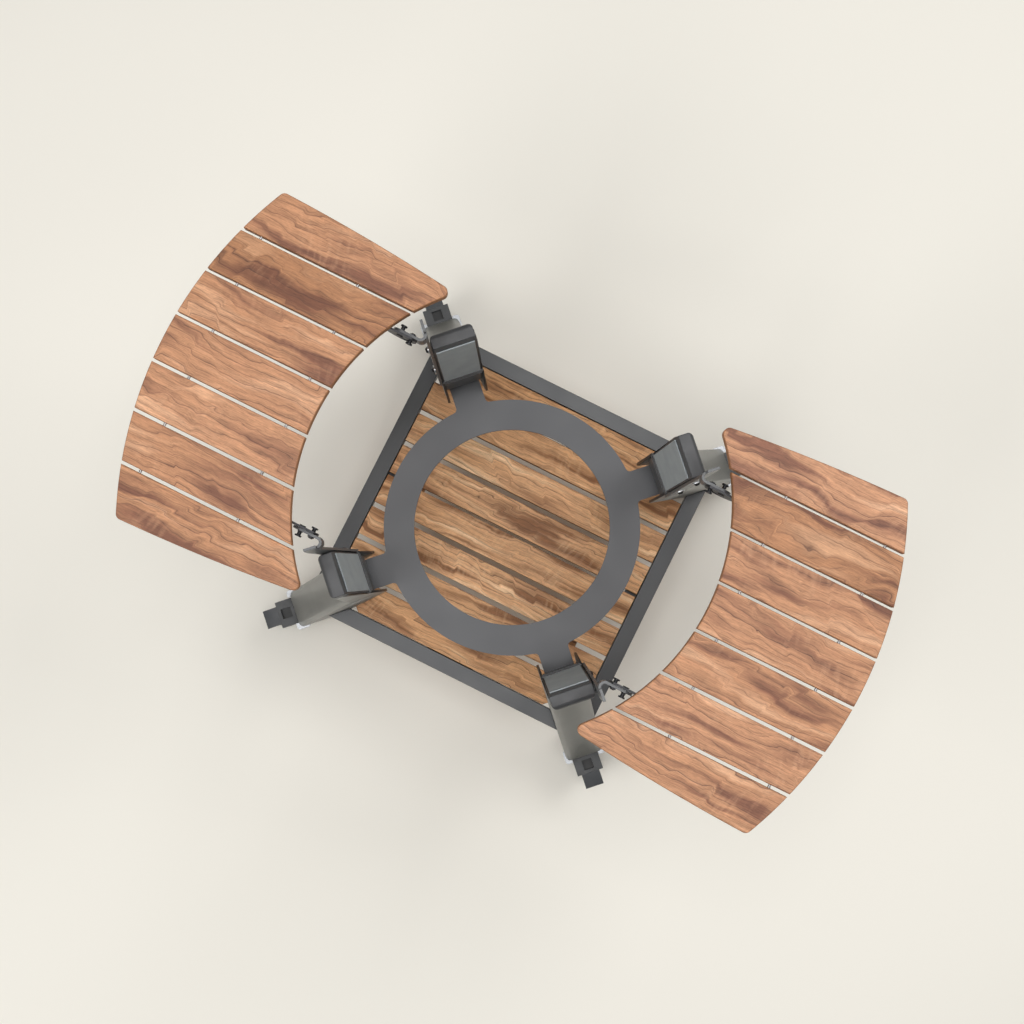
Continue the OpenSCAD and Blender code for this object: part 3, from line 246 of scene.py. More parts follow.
def eased(node, finish, radius=0.0, steps=2):
    """Copies a CAD node with its loose triangles merged, shaded smooth but for its sharp edges.
    With a radius, flat faces are joined and the sharp edges rounded. The copy stands for the
    node and its body."""
    merge_gap, flat, sharp = 2e-6, radians(0.3), radians(30)
    shape = bmesh.new()
    shape.from_mesh(frame["nodes"][node].data)
    bmesh.ops.remove_doubles(shape, verts=shape.verts, dist=merge_gap)
    if radius:
        bmesh.ops.dissolve_limit(shape, angle_limit=flat, verts=shape.verts, edges=shape.edges)
    mesh = bpy.data.meshes.new(node + "_finished")
    shape.to_mesh(mesh)
    shape.free()
    mesh.materials.clear()
    mesh.materials.append(finish)
    mesh.shade_smooth()
    mesh.set_sharp_from_angle(angle=sharp)
    piece = placed(node + "_finished", mesh)
    if radius:
        edge = piece.modifiers.new("eased_edges", "BEVEL")
        edge.width, edge.segments, edge.limit_method = radius, steps, "ANGLE"
        edge.angle_limit, edge.harden_normals = sharp, True
    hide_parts(node)
    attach(piece, frame["nodes"][node]["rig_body"])


corners = ["back_right", "back_left", "front_left", "front_right"]
# the legs' coat carries a near-black strip over the inner edges above the knee: partly painted
# shade
leg_coat = powder_coat("warm_grey_powder_coat", "#777773", "#71716d", roughness=0.34,
                       strip="#161617")
for corner in corners:
    eased("leg_" + corner, leg_coat)


# ---- Caps and pads
# A black nylon cap closes each leg: its crown sits on the top edge and its skin hooks over the
# inner edges, injection moulded with a fine spark grain. A grey pad of moulded rubber is let in.
def moulding(name, colour, worn, roughness, grain, level=0.5, root=None, shaded_root_r=0.0):
    """Injection moulded plastic or rubber with a spark eroded grain: pits a fraction of a
    millimetre across, with handling that has polished the tone a little in patches of 25 mm. A
    root colour, painted shade under the brake housing's window, covers what lies within a given
    distance of the middle along the leg's diagonal."""
    rubbed_size = 0.025
    made, tree, surface = new_material(name)
    place = add(tree, "TexCoord").outputs["Object"]
    rubbed = add(tree, "TexNoise", {"Vector": place, "Scale": 1 / rubbed_size, "Detail": 3.0})
    body = add(tree, "ValToRGB", {"Fac": rubbed.outputs["Fac"]}, [(0.35, colour), (0.7, worn)])
    tone = body.outputs["Color"]
    # painted shade: the root colour darkens what lies near the middle along the leg's diagonal
    if root:
        out = diagonal_place(tree, place)[0]
        near = add(tree, "Math", {0: out, 1: shaded_root_r * np.sqrt(2)}, operation="LESS_THAN")
        tone = add(tree, "Mix", {0: near.outputs[0], 6: tone, 7: linear(root)},
                   data_type="RGBA").outputs[2]
    pits = add(tree, "TexVoronoi", {"Vector": place, "Scale": 1 / grain})
    bump = add(tree, "Bump", {"Height": pits.outputs["Distance"], "Strength": 0.2,
                              "Distance": grain / 8})
    gloss = add(tree, "MapRange", {"Value": rubbed.outputs["Fac"], "From Min": 0.3, "From Max": 0.7,
                                   "To Min": roughness + 0.04, "To Max": roughness - 0.05})
    skin = add(tree, "BsdfPrincipled", {"Base Color": tone, "Roughness": gloss.outputs["Result"],
                                        "Normal": bump.outputs["Normal"], "IOR": 1.5,
                                        "Specular IOR Level": level})
    tree.links.new(skin.outputs["BSDF"], surface)
    return made


cap_nylon = moulding("grained_black_nylon", "#3e3f41", "#464749", roughness=0.42, grain=0.0009,
                     level=0.38)
pad_rubber = moulding("moulded_grey_rubber", "#8d9498", "#949b9e", roughness=0.66, grain=0.0007)
for corner in corners:
    eased("cap_" + corner, cap_nylon, radius=0.0015, steps=3)
eased("cap_pads", pad_rubber, radius=0.0007)


# ---- Ring plate
# One laser cut ring of 6 mm steel with four tabs, powder coated dark grey, which two black
# screws a side hold down on the folded seats inside the legs.
def black_oxide(name):
    """Oil blackened steel: dark, a little warmer in blooms of 6 mm where the oil is thin, with a
    low sheen."""
    bloom_size = 0.006
    made, tree, surface = new_material(name)
    place = add(tree, "TexCoord").outputs["Object"]
    bloom = add(tree, "TexNoise", {"Vector": place, "Scale": 1 / bloom_size, "Detail": 3.0})
    body = add(tree, "ValToRGB", {"Fac": bloom.outputs["Fac"]},
               [(0.35, "#27282a"), (0.75, "#37363a")])
    skin = add(tree, "BsdfPrincipled", {"Base Color": body.outputs["Color"], "Metallic": 0.55,
                                        "Roughness": 0.42})
    tree.links.new(skin.outputs["BSDF"], surface)
    return made


ring_coat = powder_coat("dark_grey_powder_coat", "#4d4e51", "#494a4d", roughness=0.46)
screw_steel = black_oxide("oil_blackened_steel")
eased("ring_plate", ring_coat, radius=0.0007)
eased("ring_screws", screw_steel, radius=0.0004)


# ---- Brackets, bolts and pins
# Folded 4 mm steel plates bolted to the legs' sides, bent back into arms that hold the hinge
# pins, coated grey. Button head bolts sit on zinc plated washers; the clamp bolts run in slots.
def zinc_plate(name, colour, roughness):
    """Zinc plate over rolled steel: a bluish white metal with a fine frosted crystal, drawn about
    2 mm across so that it shows, and slightly duller in patches of 12 mm where it was handled."""
    frost_size, dull_size = 0.002, 0.012
    made, tree, surface = new_material(name)
    place = add(tree, "TexCoord").outputs["Object"]
    frost = add(tree, "TexVoronoi", {"Vector": place, "Scale": 1 / frost_size})
    dull = add(tree, "TexNoise", {"Vector": place, "Scale": 1 / dull_size, "Detail": 3.0})
    body = add(tree, "ValToRGB", {"Fac": dull.outputs["Fac"]}, [(0.3, colour), (0.75, "#b9bcc0")])
    sheen = add(tree, "MapRange", {"Value": frost.outputs["Distance"], "To Min": roughness - 0.05,
                                   "To Max": roughness + 0.08})
    skin = add(tree, "BsdfPrincipled", {"Base Color": body.outputs["Color"], "Metallic": 1.0,
                                        "Roughness": sheen.outputs["Result"]})
    tree.links.new(skin.outputs["BSDF"], surface)
    return made


bracket_coat = powder_coat("mid_grey_powder_coat", "#4f5153", "#4a4c4e", roughness=0.3)
bright_zinc = zinc_plate("bright_zinc_plate", "#e2e4e6", roughness=0.3)
for corner in corners:
    eased("bracket_" + corner, bracket_coat, radius=0.0005)
eased("bracket_bolts", screw_steel, radius=0.0006, steps=3)
eased("bracket_washers", bright_zinc, radius=0.0003)
eased("hinge_pins", screw_steel, radius=0.0004)
eased("clamp_bolts", screw_steel, radius=0.0004)


# ---- Side tables
# Seven hardwood slats a side, sawn along the grain to one hollow and bowed outline, sanded,
# rounded over and oiled. Two steel rods thread them together on a pair of black angle rails.
def circle_through(centre, radius, y):
    """The x of a circle's right half at a given y: the centre's x plus the root of the radius
    squared less the square of y's distance from the centre."""
    return centre[0] + np.sqrt(radius ** 2 - (y - centre[1]) ** 2)


def touching(centre_a, reach_a, centre_b, reach_b):
    """Where circles of two radii about two centres meet, on the left of the way from a to b: along
    that way by (d^2 + ra^2 - rb^2) / 2d, and to the left by the rest of the first radius."""
    way = centre_b - centre_a
    span = np.linalg.norm(way)
    along = (span ** 2 + reach_a ** 2 - reach_b ** 2) / (2 * span)
    left = np.array([-way[1], way[0]]) / span
    return centre_a + along * way / span + np.sqrt(reach_a ** 2 - along ** 2) * left


def arc(centre, radius, start, end, count):
    """Points at equal angles on the shorter arc about a centre between the rays to two points."""
    a, b = (np.arctan2(*(point - centre)[::-1]) for point in (start, end))
    sweep = (b - a + np.pi) % (2 * np.pi) - np.pi
    turns = a + sweep * np.linspace(0, 1, count)
    return centre + radius * np.stack([np.cos(turns), np.sin(turns)], axis=1)


# The hollow and the bow are circles about points on the x axis. The end edge is a flatter bow,
# whose crest lies at end_crest_x and table_half from the middle.
table_half, end_crest_x = 0.258, 0.568
hollow_c, hollow_r = np.array([-0.0264, 0.0]), 0.3312
bow_c, bow_r = np.array([-0.0574, 0.0]), 0.6022
end_r = 2.950
end_c = np.array([end_crest_x, table_half - end_r])
round_r = 0.009
side_points, corner_points, end_points = 25, 9, 17


def slat_outline(low, high=None):
    """Outline of one slat between two places in y, counter-clockwise, from the bow to the hollow.
    With no high place it is the last slat, which ends in the end edge: arcs that touch both edges
    round its two corners."""
    def side(centre, radius, a, b):
        y = np.linspace(a, b, side_points)
        return np.stack([circle_through(centre, radius, y), y], axis=1)

    def towards(centre, radius, point):
        way = point - centre
        return centre + radius * way / np.linalg.norm(way)

    if high is not None:
        return np.concatenate([side(bow_c, bow_r, low, high), side(hollow_c, hollow_r, high, low)])
    bow_round = touching(bow_c, bow_r - round_r, end_c, end_r - round_r)
    hollow_round = touching(hollow_c, hollow_r + round_r, end_c, end_r - round_r)
    bow_end, hollow_end = (towards(end_c, end_r, centre) for centre in (bow_round, hollow_round))
    on_bow = towards(bow_c, bow_r, bow_round)
    on_hollow = towards(hollow_c, hollow_r, hollow_round)
    return np.concatenate([
        side(bow_c, bow_r, low, on_bow[1])[:-1],
        arc(bow_round, round_r, on_bow, bow_end, corner_points),
        arc(end_c, end_r, bow_end, hollow_end, end_points)[1:-1],
        arc(hollow_round, round_r, hollow_end, on_hollow, corner_points),
        side(hollow_c, hollow_r, on_hollow[1], low)[1:]])


def inset(outline, depth):
    """Moves a closed outline inwards: each corner along the sum of its two edge normals, divided
    by one plus their dot product, so that both edges move by the same depth."""
    edge = np.roll(outline, -1, axis=0) - outline
    normal = np.stack([-edge[:, 1], edge[:, 0]], axis=1) / np.linalg.norm(edge, axis=1)[:, None]
    before = np.roll(normal, 1, axis=0)
    both = before + normal
    return outline + depth * both / (1 + (before * normal).sum(axis=1))[:, None]


def boards(name, outlines, low, high, rounding, tones, finish, seed):
    """One mesh of sawn boards with rounded edges. Each outline is carried up through a profile
    (inset, height) that turns a quarter circle at both edges. Vertex attributes keep the board's
    own place in its log for the grain, its tone, and how far a point lies down on its edge."""
    bend = np.radians([0.0, 30.0, 60.0, 90.0])
    insets = rounding * (1 - np.sin(bend))
    rises = rounding * (1 - np.cos(bend))
    profile = np.concatenate([np.stack([insets, low + rises], axis=1),
                              np.stack([insets[::-1], high - rises[::-1]], axis=1)])
    on_edge = np.clip(1 - profile[:, 0] / rounding, 0, 1) ** 2
    chance = np.random.default_rng(seed)
    points, faces, grain, tone, rim = [], [], [], [], []
    for outline, shade in zip(outlines, tones):
        count, base = len(outline), sum(len(p) for p in points)
        rings = np.stack([np.column_stack([inset(outline, depth), np.full(count, z)])
                          for depth, z in profile])
        k, i = np.meshgrid(np.arange(len(profile) - 1), np.arange(count), indexing="ij")
        j = (i + 1) % count
        quads = np.stack([k * count + i, k * count + j,
                          (k + 1) * count + j, (k + 1) * count + i], -1)
        faces += (quads.reshape(-1, 4) + base).tolist()
        faces.append((base + np.arange(count)[::-1]).tolist())
        faces.append((base + (len(profile) - 1) * count + np.arange(count)).tolist())
        flat = rings.reshape(-1, 3)
        log = chance.uniform(-4, 4, 3) + flat * [chance.choice([-1, 1]), 1, 1] \
            - [0, outline[:, 1].mean(), 0]
        points.append(flat)
        grain.append(log)
        tone.append(np.full(len(flat), shade))
        rim.append(np.repeat(on_edge, count))
    mesh = bpy.data.meshes.new(name)
    mesh.from_pydata(np.concatenate(points).tolist(), [], faces)
    for key, kind, rows in (("grain", "FLOAT_VECTOR", grain), ("tone", "FLOAT", tone),
                            ("rim", "FLOAT", rim)):
        layer = mesh.attributes.new(key, kind, "POINT")
        layer.data.foreach_set("vector" if kind == "FLOAT_VECTOR" else "value",
                               np.concatenate(rows).astype(np.float32).ravel())
    mesh.materials.append(finish)
    mesh.shade_smooth()
    mesh.set_sharp_from_angle(angle=radians(40))
    flats = np.array([len(p.vertices) > 4 for p in mesh.polygons])
    mesh.polygons.foreach_set("use_smooth", ~flats)
    return placed(name, mesh)


def oiled_wood(name, pale, mid, deep, line, edge, ring_gap):
    """Oiled tropical hardwood, slash sawn: growth rings cut at a low angle show as dark wavy
    contour lines about ring_gap apart, sharp on one side and fading on the other, stepped where
    the saw crossed a change of grain. Brown heart bands and fine strands follow the rings; curl
    lies across them in pale patches, and the fibres and pores run straight along the board.
    Sizes are metres along, across and through the board, or rings where they follow the rings."""
    wave_size, ripple_size = (0.20, 0.07, 0.07), (0.03, 0.012, 0.012)
    cell_size, cell_lean = (0.10, 0.045, 0.3), radians(52)
    band_size, fleck_size = (1.2, 2.2, 1.0), (0.22, 0.5, 1.0)
    curl_size, curl_lean, patch_size = (0.007, 0.03, 0.03), radians(-14), 0.07
    fibre_size, pore_size, fibre_depth = (0.04, 0.0013, 0.0013), (0.006, 0.0011, 0.0011), 0.0002
    strands_per_ring = 4.0
    made, tree, surface = new_material(name)
    log = add(tree, "Attribute", attribute_name="grain").outputs["Vector"]
    tone = add(tree, "Attribute", attribute_name="tone").outputs["Fac"]
    rim = add(tree, "Attribute", attribute_name="rim").outputs["Fac"]
    place = add(tree, "SeparateXYZ", {"Vector": log})
    # waves 200 mm long and 70 mm wide carry the rings sideways by up to four rings, and ripples of
    # 30 by 12 mm make them uneven
    wave_map = add(tree, "Mapping", {"Vector": log, "Scale": wave_size}, vector_type="TEXTURE")
    wave = add(tree, "TexNoise", {"Vector": wave_map.outputs[0], "Scale": 1.0, "Detail": 2.0,
                                  "Roughness": 0.4})
    ripple_map = add(tree, "Mapping", {"Vector": log, "Scale": ripple_size},
                     vector_type="TEXTURE")
    ripple = add(tree, "TexNoise", {"Vector": ripple_map.outputs[0], "Scale": 1.0, "Detail": 1.0})
    # changes of grain: slanting cells 100 mm long and 45 mm wide that step the rings
    skew = add(tree, "Mapping", {"Vector": log, "Rotation": (0, 0, cell_lean),
                                 "Scale": cell_size}, vector_type="TEXTURE")
    cell = add(tree, "TexVoronoi", {"Vector": skew.outputs[0], "Scale": 1.0, "Smoothness": 0.18},
               feature="SMOOTH_F1")
    step = add(tree, "SeparateColor", {"Color": cell.outputs["Color"]})
    ring = add(tree, "Math", {0: place.outputs["Y"], 1: 1 / ring_gap}, operation="MULTIPLY")
    for source, rings_moved in ((wave.outputs["Fac"], 4.2), (ripple.outputs["Fac"], 0.8),
                                (step.outputs["Red"], 0.9)):
        ring = add(tree, "Math", {0: source, 1: rings_moved, 2: ring.outputs[0]},
                   operation="MULTIPLY_ADD")
    saw = add(tree, "Math", {0: ring.outputs[0]}, operation="FRACT")
    number = add(tree, "Math", {0: ring.outputs[0]}, operation="FLOOR")
    chance = add(tree, "TexWhiteNoise", {"W": number.outputs[0]}, noise_dimensions="1D")
    # late wood: 1 at the ring's sharp edge, a third after a tenth of the ring, nearly gone before
    # the middle and back just before the next edge, with a force of its own for each ring
    late = add(tree, "ValToRGB", {"Fac": saw.outputs[0]},
               [(0.0, "#ffffff"), (0.10, "#9a9a9a"), (0.42, "#303030"), (0.82, "#1c1c1c"),
                (0.965, "#6a6a6a"), (1.0, "#ffffff")])
    force = add(tree, "MapRange", {"Value": chance.outputs["Value"], "To Min": 0.14, "To Max": 1.0})
    dark = add(tree, "Math", {0: late.outputs["Color"], 1: force.outputs["Result"]},
               operation="MULTIPLY")
    # strands: four weak lines to a ring, stronger in flecks 44 mm long and half a ring wide
    strand = add(tree, "Math", {0: ring.outputs[0], 1: strands_per_ring}, operation="MULTIPLY")
    strand = add(tree, "Math", {0: strand.outputs[0]}, operation="FRACT")
    # what follows the rings is drawn over the place along the board, in waves, and the ring
    stretch = add(tree, "SeparateXYZ", {"Vector": wave_map.outputs[0]})
    along_ring = add(tree, "CombineXYZ", {"X": stretch.outputs["X"], "Y": ring.outputs[0]})
    band_map = add(tree, "Mapping", {"Vector": along_ring.outputs[0], "Scale": band_size},
                   vector_type="TEXTURE")
    band = add(tree, "TexNoise", {"Vector": band_map.outputs[0], "Scale": 1.0, "Detail": 2.0})
    fleck_map = add(tree, "Mapping", {"Vector": along_ring.outputs[0], "Scale": fleck_size},
                    vector_type="TEXTURE")
    fleck = add(tree, "TexNoise", {"Vector": fleck_map.outputs[0], "Scale": 1.0, "Detail": 2.0})
    strength = add(tree, "MapRange", {"Value": fleck.outputs["Fac"], "From Min": 0.42,
                                      "From Max": 0.68, "To Max": 0.55})
    thin = add(tree, "ValToRGB", {"Fac": strand.outputs[0]},
               [(0.0, "#e0e0e0"), (0.22, "#4a4a4a"), (0.6, "#000000"), (0.9, "#2a2a2a"),
                (1.0, "#e0e0e0")])
    thin = add(tree, "Math", {0: thin.outputs["Color"], 1: strength.outputs["Result"]},
               operation="MULTIPLY")
    drawn = add(tree, "Math", {0: dark.outputs[0], 1: thin.outputs[0]}, operation="ADD")
    # heart bands follow the rings, some two rings wide and 240 mm long
    heart = add(tree, "ValToRGB", {"Fac": band.outputs["Fac"]},
                [(0.32, pale), (0.44, mid), (0.52, mid), (0.66, deep)])
    flecked = add(tree, "MapRange", {"Value": fleck.outputs["Fac"], "From Min": 0.3,
                                     "From Max": 0.7, "To Min": 1.10, "To Max": 0.84})
    ringed = add(tree, "Mix", {0: drawn.outputs[0], 6: heart.outputs["Color"], 7: linear(line)},
                 data_type="RGBA")
    # curl: pale bands 7 mm wide that lean across the grain, in patches of about 70 mm
    curl_map = add(tree, "Mapping", {"Vector": log, "Rotation": (0, 0, curl_lean),
                                     "Scale": curl_size}, vector_type="TEXTURE")
    curl = add(tree, "TexNoise", {"Vector": curl_map.outputs[0], "Scale": 1.0, "Detail": 2.0})
    patch = add(tree, "TexNoise", {"Vector": log, "Scale": 1 / patch_size, "Detail": 1.0})
    curly = add(tree, "MapRange", {"Value": patch.outputs["Fac"], "From Min": 0.45,
                                   "From Max": 0.68, "To Max": 0.3})
    sheen = add(tree, "MapRange", {"Value": curl.outputs["Fac"], "From Min": 0.45, "From Max": 0.7})
    glint = add(tree, "Math", {0: curly.outputs["Result"], 1: sheen.outputs["Result"]},
                operation="MULTIPLY")
    curled = add(tree, "Mix", {0: glint.outputs[0], 6: ringed.outputs[2], 7: linear(pale)},
                 data_type="RGBA")
    # fibres 1.3 mm wide and 40 mm long and pores 1.1 mm wide and 6 mm long, both drawn coarser than
    # real ones so that they show; where there is no pore, the wood is a little paler
    fibre_map = add(tree, "Mapping", {"Vector": log, "Scale": fibre_size}, vector_type="TEXTURE")
    fibre = add(tree, "TexNoise", {"Vector": fibre_map.outputs[0], "Scale": 1.0, "Detail": 2.0})
    pore_map = add(tree, "Mapping", {"Vector": log, "Scale": pore_size}, vector_type="TEXTURE")
    pore = add(tree, "TexNoise", {"Vector": pore_map.outputs[0], "Scale": 1.0, "Detail": 1.0})
    open_pore = add(tree, "MapRange", {"Value": pore.outputs["Fac"], "From Min": 0.60,
                                       "From Max": 0.74, "To Max": 0.24})
    pale_fleck = add(tree, "MapRange", {"Value": pore.outputs["Fac"], "From Min": 0.42,
                                        "From Max": 0.28, "To Max": 0.16})
    value = add(tree, "MapRange", {"Value": fibre.outputs["Fac"], "From Min": 0.25,
                                   "From Max": 0.75, "To Min": 0.80, "To Max": 1.20})
    value = add(tree, "Math", {0: value.outputs["Result"], 1: open_pore.outputs["Result"]},
                operation="SUBTRACT")
    value = add(tree, "Math", {0: value.outputs[0], 1: pale_fleck.outputs["Result"]},
                operation="ADD")
    for factor in (flecked.outputs["Result"], tone):
        value = add(tree, "Math", {0: value.outputs[0], 1: factor}, operation="MULTIPLY")
    # a darker board is redder too: the saturation falls as the tone rises
    rich = add(tree, "MapRange", {"Value": tone, "From Min": 0.8, "From Max": 1.1, "To Min": 1.03,
                                  "To Max": 0.95})
    toned = add(tree, "HueSaturation", {"Value": value.outputs[0],
                                        "Saturation": rich.outputs["Result"],
                                        "Color": curled.outputs[2]})
    # the sawn and rounded edges take up more oil and turn towards the edge colour
    sawn = add(tree, "Math", {0: rim, 1: 0.75}, operation="MULTIPLY")
    edged = add(tree, "Mix", {0: sawn.outputs[0], 6: toned.outputs["Color"], 7: linear(edge)},
                data_type="RGBA")
    relief = add(tree, "Math", {0: fibre.outputs["Fac"], 1: pore.outputs["Fac"]},
                 operation="SUBTRACT")
    bump = add(tree, "Bump", {"Height": relief.outputs[0], "Strength": 0.3,
                              "Distance": fibre_depth})
    gloss = add(tree, "MapRange", {"Value": band.outputs["Fac"], "To Min": 0.5, "To Max": 0.62})
    skin = add(tree, "BsdfPrincipled", {"Base Color": edged.outputs[2],
                                        "Roughness": gloss.outputs["Result"], "IOR": 1.45,
                                        "Normal": bump.outputs["Normal"]})
    tree.links.new(skin.outputs["BSDF"], surface)
    return made


table_wood = oiled_wood("oiled_reddish_hardwood", pale="#d09e78", mid="#ba855f", deep="#80523c",
                        line="#5f3c2e", edge="#9a6a45", ring_gap=0.0125)
rod_zinc = zinc_plate("pale_zinc_plate", "#f4f5f5", roughness=0.55)
pitch, gap, slat_low, slat_high, slat_round = 0.0737, 0.0048, 0.889, 0.907, 0.0016
gap_middles = (np.arange(6) - 2.5) * pitch
inner_slats = [slat_outline(low, high)
               for low, high in zip(gap_middles[:-1] + gap / 2, gap_middles[1:] - gap / 2)]
back_slat = slat_outline(gap_middles[-1] + gap / 2)
right_outlines = [back_slat[::-1] * [1, -1]] + inner_slats + [back_slat]
left_outlines = [outline[::-1] * [-1, 1] for outline in right_outlines]
# each board's own tone from the front to the back, where 1 leaves the wood as it is written
table_tones = {"right": [1.02, 1.06, 1.0, 1.04, 1.02, 0.86, 1.10],
               "left": [0.94, 0.98, 1.04, 1.02, 0.98, 0.82, 1.0]}
for side, outlines, seed in (("right", right_outlines, 11), ("left", left_outlines, 23)):
    slats = boards(side + "_table_boards", outlines, slat_low, slat_high, slat_round,
                   table_tones[side], table_wood, seed)
    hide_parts(side + "_table_slats")
    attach(slats, side + "_table")
    eased(side + "_table_rails", screw_steel, radius=0.0004)
    eased(side + "_rail_screws", screw_steel, radius=0.0003)
    eased(side + "_table_rods", rod_zinc, radius=0.0003)


# ---- Lower shelf
# Four square tubes, mitred to the legs and powder coated, carry black ledges; eight tan hardwood
# slats lie on them, screwed from below to two battens of the same wood.
frame_coat = powder_coat("frame_grey_powder_coat", "#3e4043", "#3a3c3e")
ledge_coat = powder_coat("black_powder_coat", "#1d1d1e", "#19191a")
shelf_wood = oiled_wood("oiled_tan_hardwood", pale="#e4ba8c", mid="#cb9766", deep="#83532a",
                        line="#57351c", edge="#7c522f", ring_gap=0.009)
eased("shelf_frame", frame_coat, radius=0.0012)
eased("shelf_ledges", ledge_coat, radius=0.0005)
frame_inside, edge_gap, mid_gap, shelf_gap, shelf_count = 0.252, 0.0013, 0.0054, 0.009, 8
shelf_top, shelf_low, shelf_round = 0.2405, 0.2205, 0.0010
slat_end = frame_inside - edge_gap
slat_w = (2 * slat_end - mid_gap - (shelf_count - 2) * shelf_gap) / shelf_count

# The shelf's corners are cut where |x| + |y| is notch, edge_gap short of the legs' inner edges at
# the shelf's top. These run straight from tip_r at the knee to foot_inner_r at the foot.
tip_r, foot_inner_r, foot_z = 0.231, 0.350, 0.128
edge_r = tip_r + (knee_z - shelf_top) * (foot_inner_r - tip_r) / (knee_z - foot_z)
notch = np.sqrt(2) * (edge_r - edge_gap)
back_outlines = []
for k in range(shelf_count // 2):
    low = mid_gap / 2 + k * (slat_w + shelf_gap)
    high = low + slat_w
    ends = np.minimum(slat_end, notch - np.array([low, high]))
    right_half = [(ends[0], low), (ends[1], high)]
    if ends[0] == slat_end > ends[1]:
        right_half.insert(1, (slat_end, np.clip(notch - slat_end, low, high)))
    right_half = np.array(right_half)
    back_outlines.append(np.concatenate([right_half, right_half[::-1] * [-1, 1]]))
front_outlines = [outline[::-1] * [1, -1] for outline in back_outlines[::-1]]
shelf_tones = [0.96, 1.04, 1.10, 1.06, 1.08, 1.06, 1.0, 0.84]
shelf_boards = boards("shelf_boards", front_outlines + back_outlines, shelf_low, shelf_top,
                      shelf_round, shelf_tones, shelf_wood, seed=5)
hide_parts("shelf_slats")
batten_x, batten_half, batten_h, batten_round = 0.1865, 0.007, 0.016, 0.0008
batten_end = slat_end - slat_w / 4
batten = np.array([(-batten_half, -batten_end), (batten_half, -batten_end),
                   (batten_half, batten_end), (-batten_half, batten_end)])
battens = boards("shelf_batten_boards", [batten - [batten_x, 0], batten + [batten_x, 0]],
                 shelf_low - batten_h, shelf_low, batten_round, [0.9, 0.95], shelf_wood, seed=9)
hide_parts("shelf_battens")
for piece in (shelf_boards, battens):
    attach(piece, "stand")


# ---- Casters and brakes
# Zinc plated pressed steel plates and forks, soft grey rubber tyres on moulded wheel centres, and
# a housing with a foot pedal of glass filled nylon that presses its shoe on the tyre.
def spun(name, node, profile, finish):
    """Turns a closed profile (radius, place along the axle) about the wheel's axle: each point
    goes round a circle in the plane of the upright and the leg's diagonal. Centre and axle come
    from the node's box and the corner that it stands in."""
    steps = 96
    low, high = (np.array(place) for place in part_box(node))
    centre = (low + high) / 2
    out = np.sign(centre) * [1, 1, 0] / np.sqrt(2)
    axle = np.cross(out, [0, 0, 1])
    turns = np.linspace(0, 2 * np.pi, steps, endpoint=False)[:, None, None]
    r, along = np.array(profile).T[:, None, :, None]
    rings = centre + along * axle + r * (np.cos(turns) * out + np.sin(turns) * np.array([0, 0, 1]))
    count = len(profile)
    k, i = np.meshgrid(np.arange(steps), np.arange(count), indexing="ij")
    j, m = (k + 1) % steps, (i + 1) % count
    quads = np.stack([k * count + i, j * count + i, j * count + m, k * count + m], -1)
    mesh = bpy.data.meshes.new(name)
    mesh.from_pydata(rings.reshape(-1, 3).tolist(), [], quads.reshape(-1, 4).tolist())
    shape = bmesh.new()
    shape.from_mesh(mesh)
    bmesh.ops.recalc_face_normals(shape, faces=shape.faces)
    shape.to_mesh(mesh)
    shape.free()
    mesh.materials.append(finish)
    mesh.shade_smooth()
    mesh.set_sharp_from_angle(angle=radians(35))
    piece = placed(name, mesh)
    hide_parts(node)
    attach(piece, frame["nodes"][node]["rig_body"])


def housing_lip(corner, finish):
    """The housing's thin lip over the fork's crown: a flat bar across the leg's diagonal, between
    two distances from the middle and two heights, as wide as the housing."""
    near, far, low, high, half = 0.4240, 0.4343, 0.1103, 0.1123, 0.025
    box_low, box_high = (np.array(place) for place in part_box("brake_housing_" + corner))
    out = np.sign(box_low + box_high) * [1, 1, 0] / np.sqrt(2)
    across = np.cross([0, 0, 1], out)
    flat = [(near, -half), (far, -half), (far, half), (near, half)]
    points = np.array([r * out + a * across + [0, 0, z] for z in (low, high) for r, a in flat])
    mesh = bpy.data.meshes.new("housing_lip_" + corner)
    mesh.from_pydata(points.tolist(), [], [(3, 2, 1, 0), (4, 5, 6, 7), (0, 1, 5, 4),
                                           (1, 2, 6, 5), (2, 3, 7, 6), (3, 0, 4, 7)])
    mesh.materials.append(finish)
    piece = placed("housing_lip_" + corner, mesh)
    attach(piece, "caster_" + corner)


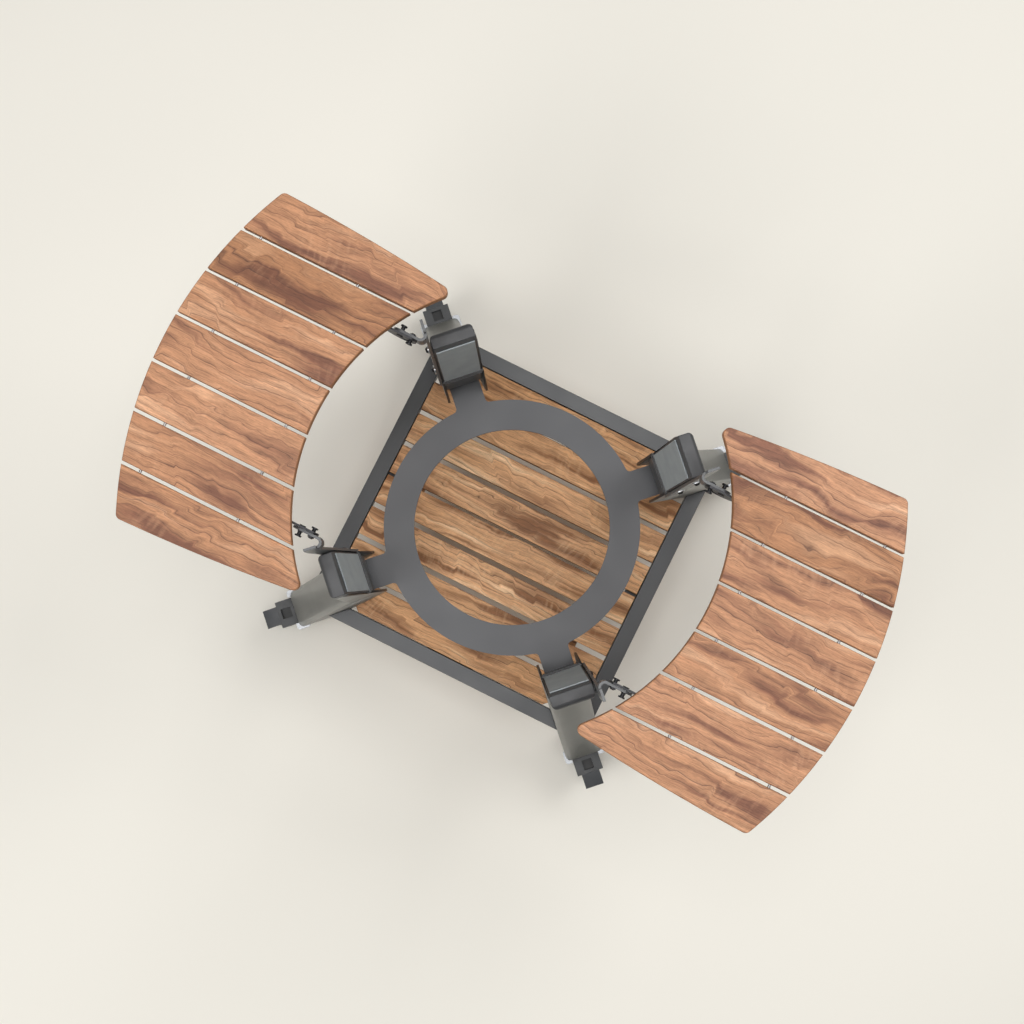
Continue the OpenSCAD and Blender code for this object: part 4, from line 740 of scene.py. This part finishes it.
dull_zinc = zinc_plate("dull_zinc_plate", "#b4b7ba", roughness=0.5)
brake_nylon = moulding("grained_dark_nylon", "#363839", "#3c3e40", roughness=0.45, grain=0.0008)
# the pedal's root under the housing's window is painted near black: painted shade
pedal_nylon = moulding("grained_black_pedal_nylon", "#46484b", "#4d4f51", roughness=0.5,
                       grain=0.0008, root="#141516", shaded_root_r=0.462)
wheel_nylon = moulding("moulded_wheel_nylon", "#56585b", "#5e6063", roughness=0.4, grain=0.0008)
tread_rubber = moulding("soft_grey_tread_rubber", "#37383a", "#434446", roughness=0.66,
                        grain=0.0006)

# The tyre is flat in the middle of its tread and rounded at both shoulders. The hub's profile runs
# from the bore over the boss, the thin web and the rim to the tyre's inside.
tyre_r, tyre_inner_r, tyre_half, tread_half, tyre_round = 0.050, 0.038, 0.016, 0.001, 0.0045
quarter = np.radians(np.linspace(0, 90, 7))
shoulder = np.stack([tyre_r - tyre_round + tyre_round * np.cos(quarter),
                     tyre_half - tyre_round + tyre_round * np.sin(quarter)], axis=1)
half_tyre = [(tyre_r, tread_half), *shoulder.tolist(), (tyre_inner_r, tyre_half)]
tyre_profile = [(r, -along) for r, along in half_tyre[::-1]] + half_tyre
half_hub = [(0.00405, -0.0187), (0.0072, -0.0187), (0.0080, -0.0179), (0.0084, -0.0052),
            (0.0120, -0.0043), (0.0300, -0.0043), (0.0336, -0.0060), (0.0344, -0.0122),
            (0.0352, -0.0130), (tyre_inner_r, -0.0130)]
hub_profile = half_hub + [(r, -along) for r, along in half_hub[::-1]]
eased("caster_bolts", bright_zinc, radius=0.0004)
for corner in corners:
    eased("caster_plate_" + corner, dull_zinc, radius=0.0006)
    eased("caster_fork_" + corner, dull_zinc, radius=0.0005)
    eased("caster_axle_" + corner, bright_zinc, radius=0.0004)
    spun("wheel_tread_" + corner, "wheel_tyre_" + corner, tyre_profile, tread_rubber)
    spun("wheel_centre_" + corner, "wheel_hub_" + corner, hub_profile, wheel_nylon)
    eased("brake_housing_" + corner, brake_nylon)
    housing_lip(corner, brake_nylon)
    eased("brake_pedal_" + corner, pedal_nylon, radius=0.0008)
